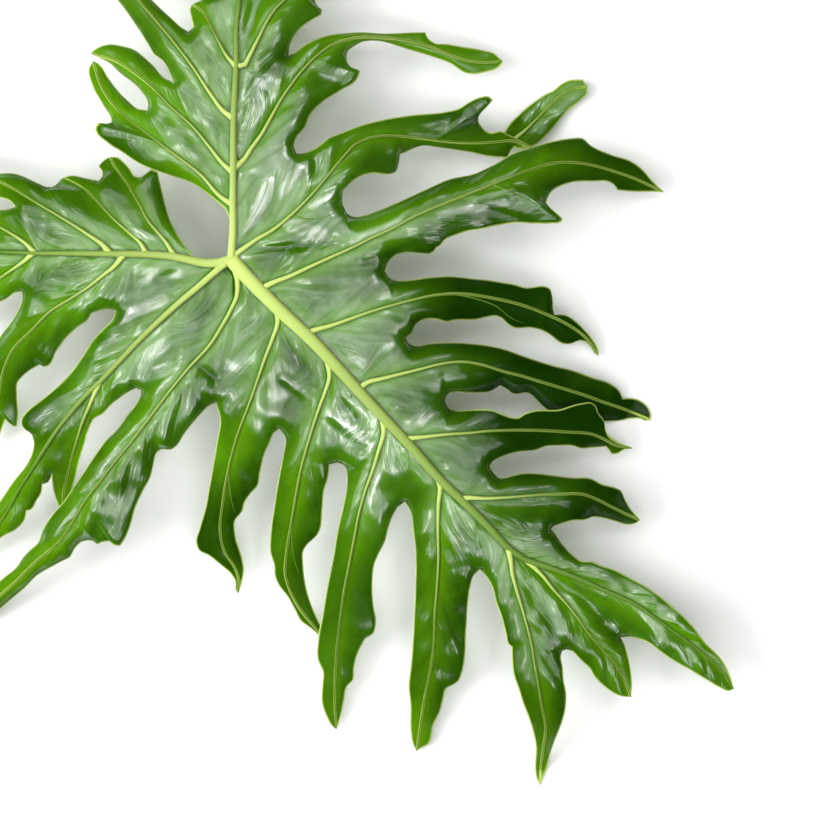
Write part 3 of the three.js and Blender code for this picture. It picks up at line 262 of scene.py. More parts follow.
            [134, -98.4], [130, -100.7]],
    },
    {
        "name": "rightFifth", "from": ["front", 114],
        "gap": {"at": ["front", 100], "sinus": [128.3, -102.8, 40]},
        "vein": [[119, -118.7], [125, -119], [135, -118.7], [145, -118], [155, -117.2], [165, -116.9],
            [175, -117], [182, -119.5], [189, -123], [196, -126.5], [204.4, -130.3]],
        "heights": [44, 37, 12], "fall": [4, 4],
        "rise": [[129.3, -105], [131, -107.3], [133.5, -109.2], [136.5, -109], [140, -107.9], [145, -106.8],
            [152, -106.8], [160, -107.8], [170, -109], [179, -109.3], [185, -112.2], [192, -114],
            [194.5, -115.3], [196, -118.5], [199, -124], [202, -127.7]],
        "back": [[202, -131.8], [198, -132.3], [192, -130.7], [186, -129], [179.5, -128.4], [177, -129.5],
            [170, -130.2], [163, -132], [160.5, -132.9]],
    },
    {
        "name": "frontTip", "from": ["front", 147],
        "gap": {"at": ["front", 130], "sinus": [159.3, -134.3, 33]},
        "vein": [[155, -152.6], [165, -156], [175, -160], [185, -164.5], [195, -168.8], [203, -172.8],
            [211, -178.5], [220, -185], [230, -192.3], [239, -199.5], [246, -206.5], [251.3, -215]],
        "heights": [34.5, 31, 20], "fall": [1.5, 1.5],
        "rise": [[161.5, -137], [164, -140.8], [167, -144.5], [171, -148.5], [174, -150.4], [180, -150.9],
            [184, -152.6], [190, -154.6], [199, -159], [208, -164], [215, -169.3], [222, -175], [230, -183],
            [239, -194], [245, -200], [248.5, -206], [250.5, -211]],
        "back": [[248.5, -216], [244, -214], [238, -210.5], [229, -205], [220, -200], [213, -195],
            [208, -191.3], [203, -189.3], [198, -188.5]],
    },
    {
        "name": "leftSixth", "from": ["front", 147],
        "gap": {"at": ["front", 147], "via": [[163, -160], [175, -168.5]], "sinus": [194.3, -189, 22]},
        "vein": [[155, -157.5], [161, -165], [166, -170.5], [171, -176.5], [177, -185], [183, -192.5],
            [190, -200], [195, -208], [199.8, -218.8]],
        "heights": [33.5, 30, 22], "fall": [1.5, 1.5],
        "rise": [[196.5, -193], [198, -198.5], [199.3, -205], [200, -212]],
        "back": [[197, -218.7], [193, -217.8], [188, -214.8], [184, -211.5], [181, -208], [178.5, -204],
            [175.5, -201.2], [173, -198.7], [170.5, -195.8]],
    },
    {
        "name": "leftFifth", "from": ["front", 138],
        "gap": {"at": ["front", 143], "sinus": [167.3, -194.5, 29]},
        "vein": [[139.3, -150], [140, -156], [142, -164], [144.7, -173], [147.5, -183], [149.7, -192],
            [151, -200], [153, -211], [155, -223], [157, -233], [156, -245], [155, -255], [154.6, -264.2]],
        "heights": [36, 27, -6], "fall": [2, 2],
        "rise": [[165, -195.2], [164.2, -198], [165, -203], [165.8, -210], [167, -217], [166.7, -225],
            [165, -232], [162, -240], [159.5, -248], [157.3, -257]],
        "back": [[152.7, -261], [152.2, -254], [152.3, -244], [150.3, -234.5], [148, -228], [145.3, -221],
            [143, -213.5], [141, -208], [140, -200], [139.8, -193.3], [138.3, -192.2], [136.8, -187],
            [134.5, -178], [131.7, -170], [130.5, -164.5], [128.5, -160]],
    },
    {
        "name": "leftFourth", "from": ["front", 102],
        "gap": {"at": ["front", 120], "sinus": [123.8, -154.3, 36]},
        "vein": [[104, -113], [103.3, -121], [103, -134], [103.2, -150], [102.3, -166], [101.3, -178],
            [101, -190], [99.5, -204], [97, -216], [95, -228], [92.3, -247]],
        "heights": [36, 19, 2], "fall": [4, 3],
        "rise": [[120.5, -157.5], [119, -163], [118, -170], [117.2, -183], [116.5, -196], [115, -207],
            [113.3, -211], [110.5, -213], [107.2, -214.7], [105.5, -220.5], [104, -226.5], [100.5, -234],
            [99.5, -240], [98.3, -243], [95, -244.8]],
        "back": [[90.8, -244.5], [89.3, -236], [89.2, -224], [88.3, -213.5], [89.5, -203], [90.3, -192],
            [91, -178], [91.7, -162], [91.8, -147], [90.5, -134], [89.3, -125.5]],
    },
    {
        "name": "leftThird", "from": ["front", 75], "gap": {"at": ["front", 88], "sinus": [86.5, -120.5, 38]},
        "vein": [[76, -86], [73.5, -95], [70.5, -105], [66.5, -116], [63.5, -127], [61, -140], [58, -155],
            [55.5, -168], [53.5, -183], [52, -197], [51.2, -210], [51, -223], [51.7, -236]],
        "heights": [40, 21, 3], "fall": [4, 3],
        "rise": [[83, -123], [80.5, -127], [78, -133.5], [76.5, -140], [73, -147], [71, -152], [70, -161],
            [70.5, -173], [71.7, -182], [70.5, -187], [66.5, -189.5], [64.5, -193], [61.5, -200],
            [60.5, -206], [60.3, -210.3], [57, -214], [55.5, -221], [54, -228]],
        "back": [[50, -235], [47, -230], [44.5, -222.5], [44.8, -213], [45.2, -207], [42.5, -200],
            [43, -189], [45, -178.5], [47.5, -164], [50.3, -150], [53.3, -133], [56, -122], [57.5, -114],
            [57.6, -106.5], [56.5, -102.5]],
    },
    {
        "name": "leftSecond", "from": ["front", 47],
        "gap": {"at": ["front", 60], "sinus": [53, -100.8, 38.5]},
        "vein": [[49, -59], [46.5, -67], [43.5, -75], [40.5, -84], [37.5, -94], [34.5, -105], [32, -118],
            [29.5, -132], [27, -147], [26.3, -157], [28.8, -166], [33, -174], [37.2, -180], [42.4, -186],
            [47, -194]],
        "heights": [43, 24, 2], "fall": [3, 3],
        "rise": [[48.5, -102], [47.8, -109], [46.3, -114], [45, -125], [43.9, -134.5], [42.5, -137.3],
            [37.5, -142], [35.5, -145], [35.3, -153], [37, -166], [40.3, -176.5], [43.5, -183.5],
            [46, -188.5]],
        "back": [[43, -188.6], [38.5, -184.5], [34, -181], [31, -175], [27.5, -168.5], [23.5, -163.3],
            [21.3, -158.5], [21, -153], [19, -146], [19.2, -137], [21, -124], [23.3, -110], [25.8, -98],
            [26.7, -88]],
    },
    {
        "name": "leftFirst", "from": ["front", 22], "gap": {"at": ["front", 34], "sinus": [23.8, -84, 38]},
        "vein": [[23.3, -31], [20.5, -40], [17, -49], [13.5, -59], [10, -69], [6.5, -78], [3, -87], [0, -97],
            [-3, -110], [-5, -122], [-6.5, -135], [-4.5, -146], [0.5, -154], [2.6, -160], [2.2, -167.3]],
        "heights": [43, 24, 4], "fall": [3, 3],
        "rise": [[20.7, -86.5], [19, -90.5], [16, -97.5], [14, -106], [12.3, -113], [9.5, -116], [6, -121],
            [4.8, -125.5], [1, -130], [1, -138], [4, -149], [5, -155], [4.2, -161]],
        "back": [[1, -166], [0.8, -161], [-1, -157.8], [-7, -152.3], [-13, -147.5], [-17.3, -145.3],
            [-18.7, -141], [-17, -135], [-13.3, -123], [-11.3, -112], [-9, -100], [-7.2, -90], [-5.5, -79]],
    },
    {
        "name": "sideLong", "from": ["front", 0], "gap": {"at": ["front", 11], "sinus": [-7.5, -71.3, 39.5]},
        "vein": [[3.3, -12], [3, -18], [0, -25], [-5, -34], [-10, -42], [-20, -53], [-30, -65], [-38, -75.5],
            [-46, -86], [-53, -95], [-60, -103.5], [-66, -111.5], [-73, -120.5], [-80, -132], [-87, -141.5],
            [-98, -150.5], [-110, -162], [-123, -173], [-136, -184], [-150, -196]],
        "heights": [46, 34, -6], "fall": [6, 4],
        "rise": [[-10.5, -72.2], [-14, -75], [-18, -79.5], [-24, -87], [-27.5, -92.5], [-30, -94.4],
            [-35, -94.3], [-37.7, -96.5], [-39.2, -102], [-41, -109], [-44.5, -115.5], [-48, -123],
            [-51.3, -134], [-54, -140], [-56, -142.7], [-58.5, -142.5], [-60.5, -140.3], [-65, -141],
            [-67, -142], [-69.5, -140.2], [-76, -141], [-79, -144], [-81.5, -148.5], [-85, -150.2],
            [-92, -154], [-98, -157.5], [-105, -164.3], [-112, -170], [-120, -177], [-134, -188]],
        "back": [[-143, -187], [-135, -178], [-125, -168.5], [-116, -160], [-108, -153.5], [-104.8, -149],
            [-100.5, -144.5], [-97, -141.5], [-94.5, -135], [-91, -129], [-84, -121], [-79, -114],
            [-73, -105], [-68.5, -98.5], [-63, -91], [-57, -85], [-52, -78], [-47, -71.5], [-45.3, -68]],
    },
    {
        "name": "sideInner", "from": ["low", 66], "gap": {"at": ["low", 22], "sinus": [-45, -65, 38]},
        "vein": [[-71, -73], [-74.5, -81], [-77.5, -90], [-80.5, -99], [-83, -108], [-85, -116],
            [-85.5, -127]],
        "heights": [36, 27, 15], "fall": [2, 1],
        "rise": [[-47.5, -63.7], [-50, -65], [-55, -68.3], [-60, -72], [-64, -76.3], [-69.5, -79.7],
            [-71.5, -84], [-74, -92], [-76.5, -100], [-79, -109], [-81.5, -117]],
        "back": [[-88.5, -121], [-90, -115]],
    },
    {
        "name": "sideOuter", "from": ["low", 66],
        "gap": {"at": ["low", 66], "via": [[-76.3, -78.3], [-85.5, -93.5]], "sinus": [-90.6, -107, 25]},
        "vein": [[-72, -67], [-80, -76], [-88, -86], [-94, -95], [-101, -106], [-107, -115], [-112, -124],
            [-118, -133], [-126, -144], [-138, -159]],
        "heights": [34, 20, 4], "fall": [2, 3],
        "rise": [[-92.5, -111], [-95.3, -112], [-95.7, -116], [-98.5, -120.5], [-101, -124.8],
            [-103.3, -125.5], [-104.5, -130], [-108, -134], [-116, -138.5], [-122, -143], [-131, -152]],
        "back": [[-136, -151], [-128, -138], [-122, -128], [-116, -119.5], [-109, -110], [-103.5, -103.5],
            [-100, -97], [-99, -91], [-100.3, -86.5], [-105, -83], [-105.3, -80], [-102, -75.5],
            [-96, -70.7], [-83, -59.5], [-76, -51], [-72, -45], [-68.5, -39.8], [-63, -34], [-59, -30]],
    },
    {
        "name": "leftLow", "from": ["left", 53], "gap": {"at": ["left", 0], "sinus": [-57.7, -25.5, 41]},
        "vein": [[-58, -3.5], [-65, -9], [-70, -13], [-80, -19.5], [-90, -25.5], [-100, -35], [-110, -45],
            [-114, -53], [-117, -63], [-118.5, -75], [-121, -93]],
        "heights": [41, 25, 5], "fall": [4, 5],
        "rise": [[-60, -24.6], [-67, -25.6], [-70.3, -27], [-71.5, -29.5], [-77, -33.5], [-83, -39],
            [-88, -45.5], [-92, -52.8], [-94, -53.3], [-96, -52], [-99.5, -53.5], [-104.5, -57], [-108, -61],
            [-108.7, -68], [-108.3, -78], [-109, -83], [-110.5, -83.3], [-114.3, -79.3], [-117, -85],
            [-119, -90]],
        "back": [[-123.5, -86], [-125, -76], [-125, -66], [-123.5, -56], [-121, -47], [-117, -39.5],
            [-114, -35.5], [-110, -30.5], [-106.5, -25], [-104.5, -19]],
    },
    {
        "name": "leftLower", "from": ["left", 99], "gap": {"at": ["left", 76], "sinus": [-104.7, -15.8, 34]},
        "vein": [[-103, -0.5], [-108, -4], [-114, -8], [-121, -13], [-130, -19.5], [-140, -27],
            [-151, -36.5]],
        "heights": [35, 25, 11], "fall": [4, 3],
        "rise": [[-108, -16], [-112, -18.7], [-118, -21.5], [-124, -26], [-131, -31], [-140, -34.5]],
        "back": [[-146, -29], [-140, -21], [-135, -15], [-131, -9]],
    },
    {
        "name": "leftEnd", "from": ["left", 118], "gap": {"at": ["left", 109], "sinus": [-128, -4.5, 31]},
        "vein": [[-126, 4.3], [-135, 4.5], [-145, 4], [-156, 3], [-169, 1]],
        "heights": [31, 18, -6], "fall": [3, 3],
        "rise": [[-133, -5], [-140, -6], [-147, -6], [-155, -3.5], [-163, -1]],
        "back": [[-164, 4], [-155, 8], [-147, 11], [-139, 13.5], [-133, 13.5]],
    },
    {
        "name": "leftUpperOut", "from": ["left", 98],
        "gap": {"at": ["left", 110], "sinus": [-128.5, 12.5, 30]},
        "vein": [[-102, 7.5], [-110, 13], [-118, 17.5], [-128, 22], [-138, 26], [-152, 31]],
        "heights": [36, 27, 13], "fall": [3, 3],
        "rise": [[-134, 17], [-140, 19.5], [-146, 24]],
        "back": [[-145, 32.5], [-136, 31.5], [-127, 28.5], [-116, 24.8], [-111, 25.2]],
    },
    {
        "name": "leftUpper", "from": ["left", 60], "gap": {"at": ["left", 80], "sinus": [-108, 26.5, 35]},
        "vein": [[-64, 7.3], [-70, 11.5], [-80, 18], [-90, 24], [-100, 30], [-110, 36], [-118, 40],
            [-127, 44.5], [-136, 49], [-147, 55]],
        "heights": [42, 31, 12], "fall": [3, 4],
        "rise": [[-109.5, 28.5], [-112, 30], [-116, 31.2], [-124, 35], [-133, 40], [-141, 47]],
        "back": [[-140, 56], [-132, 54], [-125, 48.5], [-116, 43], [-112, 43.3], [-107, 42.5], [-102, 40.5],
            [-97, 38]],
    },
    {
        "name": "leftNear", "from": ["left", 42], "gap": {"at": ["left", 50], "sinus": [-92.5, 36, 34]},
        "vein": [[-45, 8], [-50, 12.5], [-60, 21.5], [-65, 27], [-70, 32], [-75, 36], [-80, 38.8],
            [-84.5, 41]],
        "heights": [44, 39, 31], "fall": [3, 3],
        "rise": [[-90, 36], [-87, 38.3]],
        "back": [[-80, 42], [-75, 41], [-70, 39.9]],
    },
    {
        "name": "leftInner", "from": ["left", 28], "gap": {"at": ["left", 36], "sinus": [-66.3, 39.2, 35]},
        "vein": [[-32, 8], [-37, 14], [-42, 20], [-45, 26], [-48, 31], [-51, 36], [-54, 40], [-58, 45.5],
            [-61, 51.3]],
        "heights": [45, 40, 31], "fall": [3, 4],
        "rise": [[-64.7, 41.5], [-65, 44.5], [-66.8, 46.7], [-64, 49.6]],
        "back": [[-57, 51], [-54, 48.5], [-51, 45], [-48.7, 41.5], [-46, 40.8], [-43, 42.3], [-40, 45],
            [-37, 43.5], [-35.5, 37], [-34, 31], [-32.5, 25], [-31, 20], [-28, 14], [-24, 7.5],
            [-21.5, 4.5]],
    },
]

FOLDED_END = {
    "start": [138, 59, 11],
    "vein": [[142, 62], [147, 66], [152, 71], [158, 77], [165, 83.5], [171, 87], [178.3, 88.3]],
    "heights": [6, 4.5, 5], "fall": [1, 1],
    "rise": [[136.5, 65], [139, 69], [145, 75], [151, 80], [158, 84.8], [161, 86], [165, 89.3], [169, 91.3],
        [176, 91.7]],
    "back": [[178.2, 85], [175, 81.5], [169, 76.5], [163, 70], [158, 64], [154.5, 60.5], [151, 58.3],
        [144, 56.5]],
}
LAST_GAP = {"at": ["left", 20], "sinus": [-19.5, 2.8, 46.8]}

# Finer veins that fork off inside a lobe: points, half width at the root
FINE_VEINS = [
    ([[44, 36], [48, 41], [53, 46], [58, 50.5], [66, 53]], 0.8),
    ([[112, -17.2], [124, -20], [132, -23], [140, -29], [146, -31.5]], 0.6),
    ([[-2, -106], [-1.5, -113], [-0.6, -120], [1, -127]], 0.6),
    ([[30.5, -127], [29.8, -138], [31, -150], [33.5, -158]], 0.5),
    ([[130, 37], [140, 33], [152, 27], [161, 20.5]], 0.6),
    ([[30, 22], [38, 20], [47, 21], [54, 25]], 0.5),
]

# Folds of the blade that stand out and shine: from, to, half width and height, below nought for a groove
FOLDS = [
    ((11, 5), (54, 8), 1.4, -1.2),
    ((29, 17), (45, 12.5), 3.4, 0.5),
    ((11, 17), (19, 38), 3.6, 0.5),
    ((26, 34), (34, 46), 2.4, 0.4),
    ((25, -39.5), (42, -63.5), 2.6, -0.6),
    ((26, -59), (38, -68), 1.8, 0.5),
    ((55, -65), (67, -78), 1.6, 0.5),
    ((49, -77), (68, -92), 2.6, 0.6),
    ((54, -70), (64, -80), 1.2, -0.5),
    ((73, -104), (69, -120), 2.6, 0.5),
    ((0, -66), (4, -78), 2.4, 0.5),
    ((-16, -53), (-7.5, -60), 2.4, -0.7),
    ((40, 26), (54, 34), 1.6, 0.5),
    ((6, 10), (14, 22), 1.4, -0.6),
    ((-12, -20), (-20, -50), 2.6, -0.5),
    ((-34, -20), (-56, -30), 2.8, 0.5),
    ((-34, 12), (-50, 13), 2.6, 0.5),
    ((60, 8), (110, 30), 1.0, 0.5),
    ((66, -2), (112, 16), 2.0, -0.5),
    ((104, 22), (136, 28), 2.0, 0.5),
    ((92, 10), (126, 19), 1.6, 0.5),
    ((112, 30), (150, 18), 1.4, -0.5),
    ((-56, -96), (-64, -108), 3.0, 0.5),
    ((-78, -126), (-92, -138), 2.8, 0.5),
    ((76, -145), (86, -150), 1.6, 0.4),
    ((170, -162), (186, -168), 2.0, 0.5),
    ((205, -176), (232, -196), 1.8, 0.5),
]

# Parts of the blade that are crinkled: middle, reach and strength
CRINKLED = [
    ((-61, -85), 54, 1.0), ((-86, -135), 50, 1.0), ((-25, -70), 36, 0.6), ((214, -185), 60, 1.0),
    ((184, -190), 50, 1.0), ((160, -148), 40, 0.9), ((100, -190), 40, 0.9), ((112, -160), 30, 0.9),
    ((126, 24), 60, 1.0), ((156, 75), 24, 0.8), ((-46, 80), 40, 0.7), ((-70, 100), 26, 0.8),
    ((48, 38), 30, 0.7), ((40, 104), 34, 0.8), ((-101, 14), 36, 0.7), ((20, 105), 34, 0.5),
    ((58, -100), 30, 0.5), ((40, 6), 26, 0.7), ((-80, -20), 44, 0.7), ((-104, -50), 34, 0.8),
    ((4, -112), 18, 0.7), ((36, -112), 16, 0.7), ((-22, -128), 16, 0.7), ((96, -142), 18, 0.8),
]

# Parts of the blade darkened with painted shade, chiefly the lobes that droop away from the light, and partly
# a deeper green: middle, reach and strength
SHADE_AND_DEEP_GREEN = [
    ((132, -22), 62, 1.0), ((148, -70), 62, 1.0), ((152, -92), 50, 0.9), ((182, -124), 40, 0.9),
    ((196, 42), 46, 0.8), ((112, 58), 50, 0.5), ((-8, -140), 46, 0.8), ((40, -165), 50, 0.6),
    ((104, -200), 60, 0.35), ((60, -205), 60, 0.35), ((-100, 34), 34, 0.5), ((-66, 42), 30, 0.5),
    ((-36, 132), 30, 0.4), ((-110, -70), 40, 0.5), ((146, -228), 40, 0.4), ((200, -74), 30, 1.0),
    ((176, -78), 40, 1.0), ((170, -30), 40, 1.0),
]


def to_linear(hexes):
    """Linear colour from an sRGB hex value"""
    parts = [int(hexes[i:i + 2], 16) / 255 for i in (1, 3, 5)]
    return tuple(c / 12.92 if c <= 0.04045 else ((c + 0.055) / 1.055) ** 2.4 for c in parts)


class LeafSettings(bpy.types.PropertyGroup):
    """Sizes and colours of the leaf"""

    blade_thickness: bpy.props.FloatProperty(
        name="Blade Thickness", description="Thickness of the blade between its veins",
        default=0.0009, min=0.0003, unit="LENGTH")
    pucker_height: bpy.props.FloatProperty(
        name="Pucker Height", description="Height of the waves and puckers of the blade",
        default=0.0011, min=0.0, unit="LENGTH")
    vein_lift: bpy.props.FloatProperty(
        name="Vein Lift", description="How far the side veins stand above the blade at their roots",
        default=0.0009, min=0.0, unit="LENGTH")
    stem_width: bpy.props.FloatProperty(
        name="Stem Width", description="Diameter of the stem stub at its cut end",
        default=0.0092, min=0.002, unit="LENGTH")
    blade_colour: bpy.props.FloatVectorProperty(
        name="Blade Colour", description="Green of the upper face", subtype="COLOR", size=3, min=0, max=1,
        default=to_linear("#3B6B03"))
    vein_colour: bpy.props.FloatVectorProperty(
        name="Vein Colour", description="Yellow-green of the raised veins", subtype="COLOR", size=3,
        min=0, max=1,
        default=to_linear("#BFD473"))
    floor_colour: bpy.props.FloatVectorProperty(
        name="Floor Colour", description="Colour of the surface the leaf lies on", subtype="COLOR", size=3,
        min=0, max=1, default=to_linear("#F3F3F3"))


def blend(a, b, t):
    return a + (b - a) * t


def smooth(t):
    t = np.clip(t, 0, 1)
    return t * t * (3 - 2 * t)


def run_along(line):
    """Running length at each point of a line, seen from above"""
    steps = np.linalg.norm(np.diff(np.asarray(line, float)[:, :2], axis=0), axis=1)
    return np.concatenate([[0], np.cumsum(steps)])


def along_line(line, run, places):
    return np.stack([np.interp(places, run, line[:, axis]) for axis in range(line.shape[1])], axis=-1)


def curved(points, step, sharp=50):
    """Smooth line through the points that keeps their sharp corners; also the sample index of each point"""
    p = np.asarray(points, float)
    seg = np.diff(p, axis=0)
    size = np.maximum(np.linalg.norm(seg[:, :2], axis=1), 1e-6)
    rate = seg / size[:, None]
    enter, leave = [rate[0]], [rate[0]]
    for i in range(1, len(p) - 1):
        a, b = rate[i - 1], rate[i]
        turned = math.degrees(math.acos(max(-1, min(1, float(a[:2] @ b[:2])))))
        if turned > sharp:
            enter.append(a)
            leave.append(b)
        else:
            both = (a * size[i] + b * size[i - 1]) / (size[i] + size[i - 1])
            enter.append(both)
            leave.append(both)
    enter.append(rate[-1])
    out, index = [p[0]], [0]
    for i in range(len(seg)):
        count = max(1, round(size[i] / step))
        for k in range(1, count + 1):
            t = k / count
            h = (2 * t**3 - 3 * t**2 + 1, t**3 - 2 * t**2 + t, -2 * t**3 + 3 * t**2, t**3 - t**2)
            out.append(h[0] * p[i] + h[1] * size[i] * leave[i]
                       + h[2] * p[i + 1] + h[3] * size[i] * enter[i + 1])
        index.append(index[-1] + count)
    return np.array(out), index


class MainVein:
    """A main vein as a smooth line, read by the coordinate that its stations use"""

    def __init__(self, vein):
        self.line = curved(vein["points"], VEIN_STEP)[0]
        axis, sign = vein["along"]
        self.stops = self.line[:, axis] * sign
        self.length = self.stops[-1]
        self.vein = vein

    def at(self, s):
        return along_line(self.line, self.stops, s)

    def half(self, s):
        return blend(*self.vein["half"], s / self.length)


MAINS = {name: MainVein(vein) for name, vein in MAIN_VEINS.items()}


def heights_along(four, t):
    """Height at shares t of a vein from its four given heights"""
    ends = [2 * four[0] - four[1], *four, 2 * four[3] - four[2]]
    i = np.minimum(2, np.floor(np.asarray(t) * 3)).astype(int)
    u = np.asarray(t) * 3 - i
    a, b, c, d = (np.take(ends, i + k) for k in range(4))
    return 0.5 * (2 * b + (c - a) * u + (2 * a - 5 * b + 4 * c - d) * u**2 + (3 * b - a - 3 * c + d) * u**3)


def vein_line(lobe):
    """A lobe's own vein as a smooth line with heights"""
    origin = lobe.get("start") or list(MAINS[lobe["from"][0]].at(lobe["from"][1]))
    flat, _ = curved([origin[:2], *lobe["vein"]], VEIN_STEP)
    run = run_along(flat)
    height = heights_along([origin[2], *lobe["heights"]], run / run[-1])
    return np.column_stack([flat, height])


def seam_line(gap):
    """Seam of the gap between two lobes, from the main vein to the bottom of the gap, where the blade rolls
    down; each point also has the height that it would have without the roll"""
    start = MAINS[gap["at"][0]].at(gap["at"][1])
    path, _ = curved([start[:2], *gap.get("via", []), gap["sinus"][:2]], VEIN_STEP)
    run = run_along(path)
    reach = run[-1]
    count = max(2, round(reach / SEAM_STEP))
    places = np.linspace(0, reach, count + 1)
    w = places / reach
    roll = min(SINUS_ROLL, reach / 8)
    flat = blend(start[2], gap["sinus"][2] + roll, w) + PANEL_CROWN * np.sin(np.pi * w) * min(1, reach / 30)
    z = flat - roll * np.clip(1 - (reach - places) / SINUS_ROLL_REACH, 0, 1) ** 2
    return np.column_stack([along_line(path, run, places), z, flat])


def turn(a, b, c):
    """Above nought where a, b and c turn to the left"""
    return ((b[..., 0] - a[..., 0]) * (c[..., 1] - a[..., 1])
            - (b[..., 1] - a[..., 1]) * (c[..., 0] - a[..., 0]))


def row_starts(inner, outer, side):
    """Where on the inner line each row to an outer point starts, so that no part of the blade folds over"""
    run = run_along(inner)
    choices = np.linspace(0, run[-1], ROW_CHOICES)
    starts = along_line(inner, run, choices)[:, :2]
    old, new = starts[:, None], starts[None, :]
    step = np.linalg.norm(new - old, axis=-1)

    def folded(value, size):
        share = value / np.maximum(size, 1e-9)
        return np.where(share < 0.08, 30 + 30 * (0.08 - share), 0)

    best = np.where(np.arange(ROW_CHOICES) == 0, 0.0, np.inf)
    trace = []
    for k in range(1, len(outer) - 1):
        b, d = outer[k - 1][None, None, :2], outer[k][None, None, :2]
        edge = np.linalg.norm(d - b)
        first, second = np.linalg.norm(old - b, axis=-1), np.linalg.norm(new - d, axis=-1)
        cost = folded(side * turn(b, old, d), first * edge) + folded(side * turn(b, new, d), second * edge)
        moving = (folded(side * turn(old, new, b), first * step)
                  + folded(side * turn(old, new, d), second * step))
        cost = cost + np.where(step > 0.01, moving, 0.3)
        cost = cost + best[:, None]
        cost[np.tril_indices(ROW_CHOICES, -1)] = np.inf
        cost[:, 0] = np.inf
        cost[:, -1] = np.inf
        trace.append(cost.argmin(axis=0))
        best = cost.min(axis=0) + 0.15 * np.linalg.norm(starts - outer[k][:2], axis=1)
    chosen = [int(best.argmin())]
    for back in reversed(trace[1:]):
        chosen.insert(0, int(back[chosen[0]]))
    return choices[[0, *chosen, ROW_CHOICES - 1]]


def rib_half(t):
    """Half width of a side vein at share t of its length"""
    return 0.24 + 0.95 * (1 - t) ** 2.3 + 0.6 * np.exp(-t * 30)


def margin_line(lobe, gap, side):
    """Margin on one side of a lobe, from the bottom of the gap to the tip, and where its given points are"""
    given = lobe["rise"] if side > 0 else lobe["back"][::-1]
    foot = gap["sinus"] if gap else lobe["start"]
    return curved([foot[:2], *given, lobe["vein"][-1]], ROW_STEP)


def half_lobe(lobe, gap, side):
    """Places of the blade on one side of a lobe's vein: rows from the vein to the seam and the margin"""
    vein = vein_line(lobe)
    drop = lobe["fall"][0] if side > 0 else lobe["fall"][1]
    if gap is None:
        seam, inner = np.append(vein[:1], vein[:1, 2:], axis=1), vein
    else:
        seam = seam_line(gap)
        name = gap["at"][0] if gap["at"][1] > 0 else lobe["from"][0]
        start = gap["at"][1] if gap["at"][0] == name else 0
        end = lobe["from"][1] if lobe["from"][0] == name else 0
        count = max(2, round(abs(end - start) / VEIN_STEP) + 1)
        inner = np.concatenate([MAINS[name].at(np.linspace(start, end, count)), vein[1:]])
        if start == end:
            inner = vein
    margin, marks = margin_line(lobe, gap, side)
    outer = np.concatenate([seam[:-1, :2], margin])
    checks = [*range(0, len(seam) - 1, 7), *(len(seam) - 1 + mark for mark in marks)]
    checks = sorted(set(checks))
    starts = row_starts(inner, outer[checks], side)
    places = np.interp(np.arange(len(outer)), checks, starts)
    soft = np.convolve(np.pad(places, 2, mode="edge"), (0.1, 0.2, 0.4, 0.2, 0.1), mode="valid")
    places[2:-2] = soft[2:-2]
    root = along_line(inner, run_along(inner), places)
    m = np.clip(np.arange(len(outer)) - len(seam) + 1, 0, None)
    margin_run = run_along(margin)
    m = margin_run[m] / margin_run[-1]
    free = smooth(m / 0.3)
    z_end = blend(seam[-1][2], root[:, 2] - drop * (1 - m**3), free)
    flat_end = blend(seam[-1][3], root[:, 2], free)
    z_end[: len(seam)] = seam[:, 2]
    flat_end[: len(seam)] = seam[:, 3]
    widths = np.linalg.norm(outer - root[:, :2], axis=1)
    columns = int(np.clip(round(np.percentile(widths, 75) / COLUMN_STEP), 5, 22)) + 1
    v = np.linspace(0, 1, columns)[None, :] ** 1.15
    roll_shape = v ** blend(np.clip(widths / 2.5, 2, 10), 2, free)[:, None]
    x = blend(root[:, None, 0], outer[:, None, 0], v)
    y = blend(root[:, None, 1], outer[:, None, 1], v)
    z = blend(root[:, None, 2], flat_end[:, None], smooth(v)) + (z_end - flat_end)[:, None] * roll_shape
    along = np.broadcast_to(places[:, None], x.shape)
    return np.stack([x, y, z, along, v * widths[:, None] * side], axis=-1)


def add_grid(mesh, places, growth):
    """Adds a grid of faces and moves its corners to the given places"""
    rows, columns = places.shape[:2]
    made = bmesh.ops.create_grid(mesh, x_segments=columns - 1, y_segments=rows - 1, size=1)
    for vert in made["verts"]:
        column = round((vert.co.x + 1) / 2 * (columns - 1))
        row = round((vert.co.y + 1) / 2 * (rows - 1))
        x, y, z, along, across = places[row, column]
        vert.co = Vector((x + SHIFT[0], y + SHIFT[1], max(z, REST_LEVEL))) * MM
        for loop in vert.link_loops:
            loop[growth].uv = (along * GROWTH_SCALE, across * GROWTH_SCALE)


def face_up(mesh):
    """Turns every face of the blade upwards"""
    bmesh.ops.recalc_face_normals(mesh, faces=mesh.faces)
    down = [face for face in mesh.faces if face.normal.z < 0]
    bmesh.ops.reverse_faces(mesh, faces=down)


def lobe_gaps():
    gaps = [lobe["gap"] for lobe in LOBES] + [LAST_GAP]
    return list(zip(LOBES, gaps[:-1], gaps[1:]))


def tree_of(points):
    tree = kdtree.KDTree(len(points))
    for i, p in enumerate(points):
        tree.insert(p, i)
    tree.balance()
    return tree


def place_of(vert):
    return vert.co.x / MM - SHIFT[0], vert.co.y / MM - SHIFT[1], vert.co.z / MM


def puckers(x, y, crinkle):
    """Height in millimetres of the blade's small waves at a place"""
    wide = noise.noise(Vector((x / 26, y / 26, 3.1)))
    middle = noise.noise(Vector((x / 11, y / 11, 7.7)))
    return wide * 0.9 + middle * (0.35 + 1.1 * crinkle)


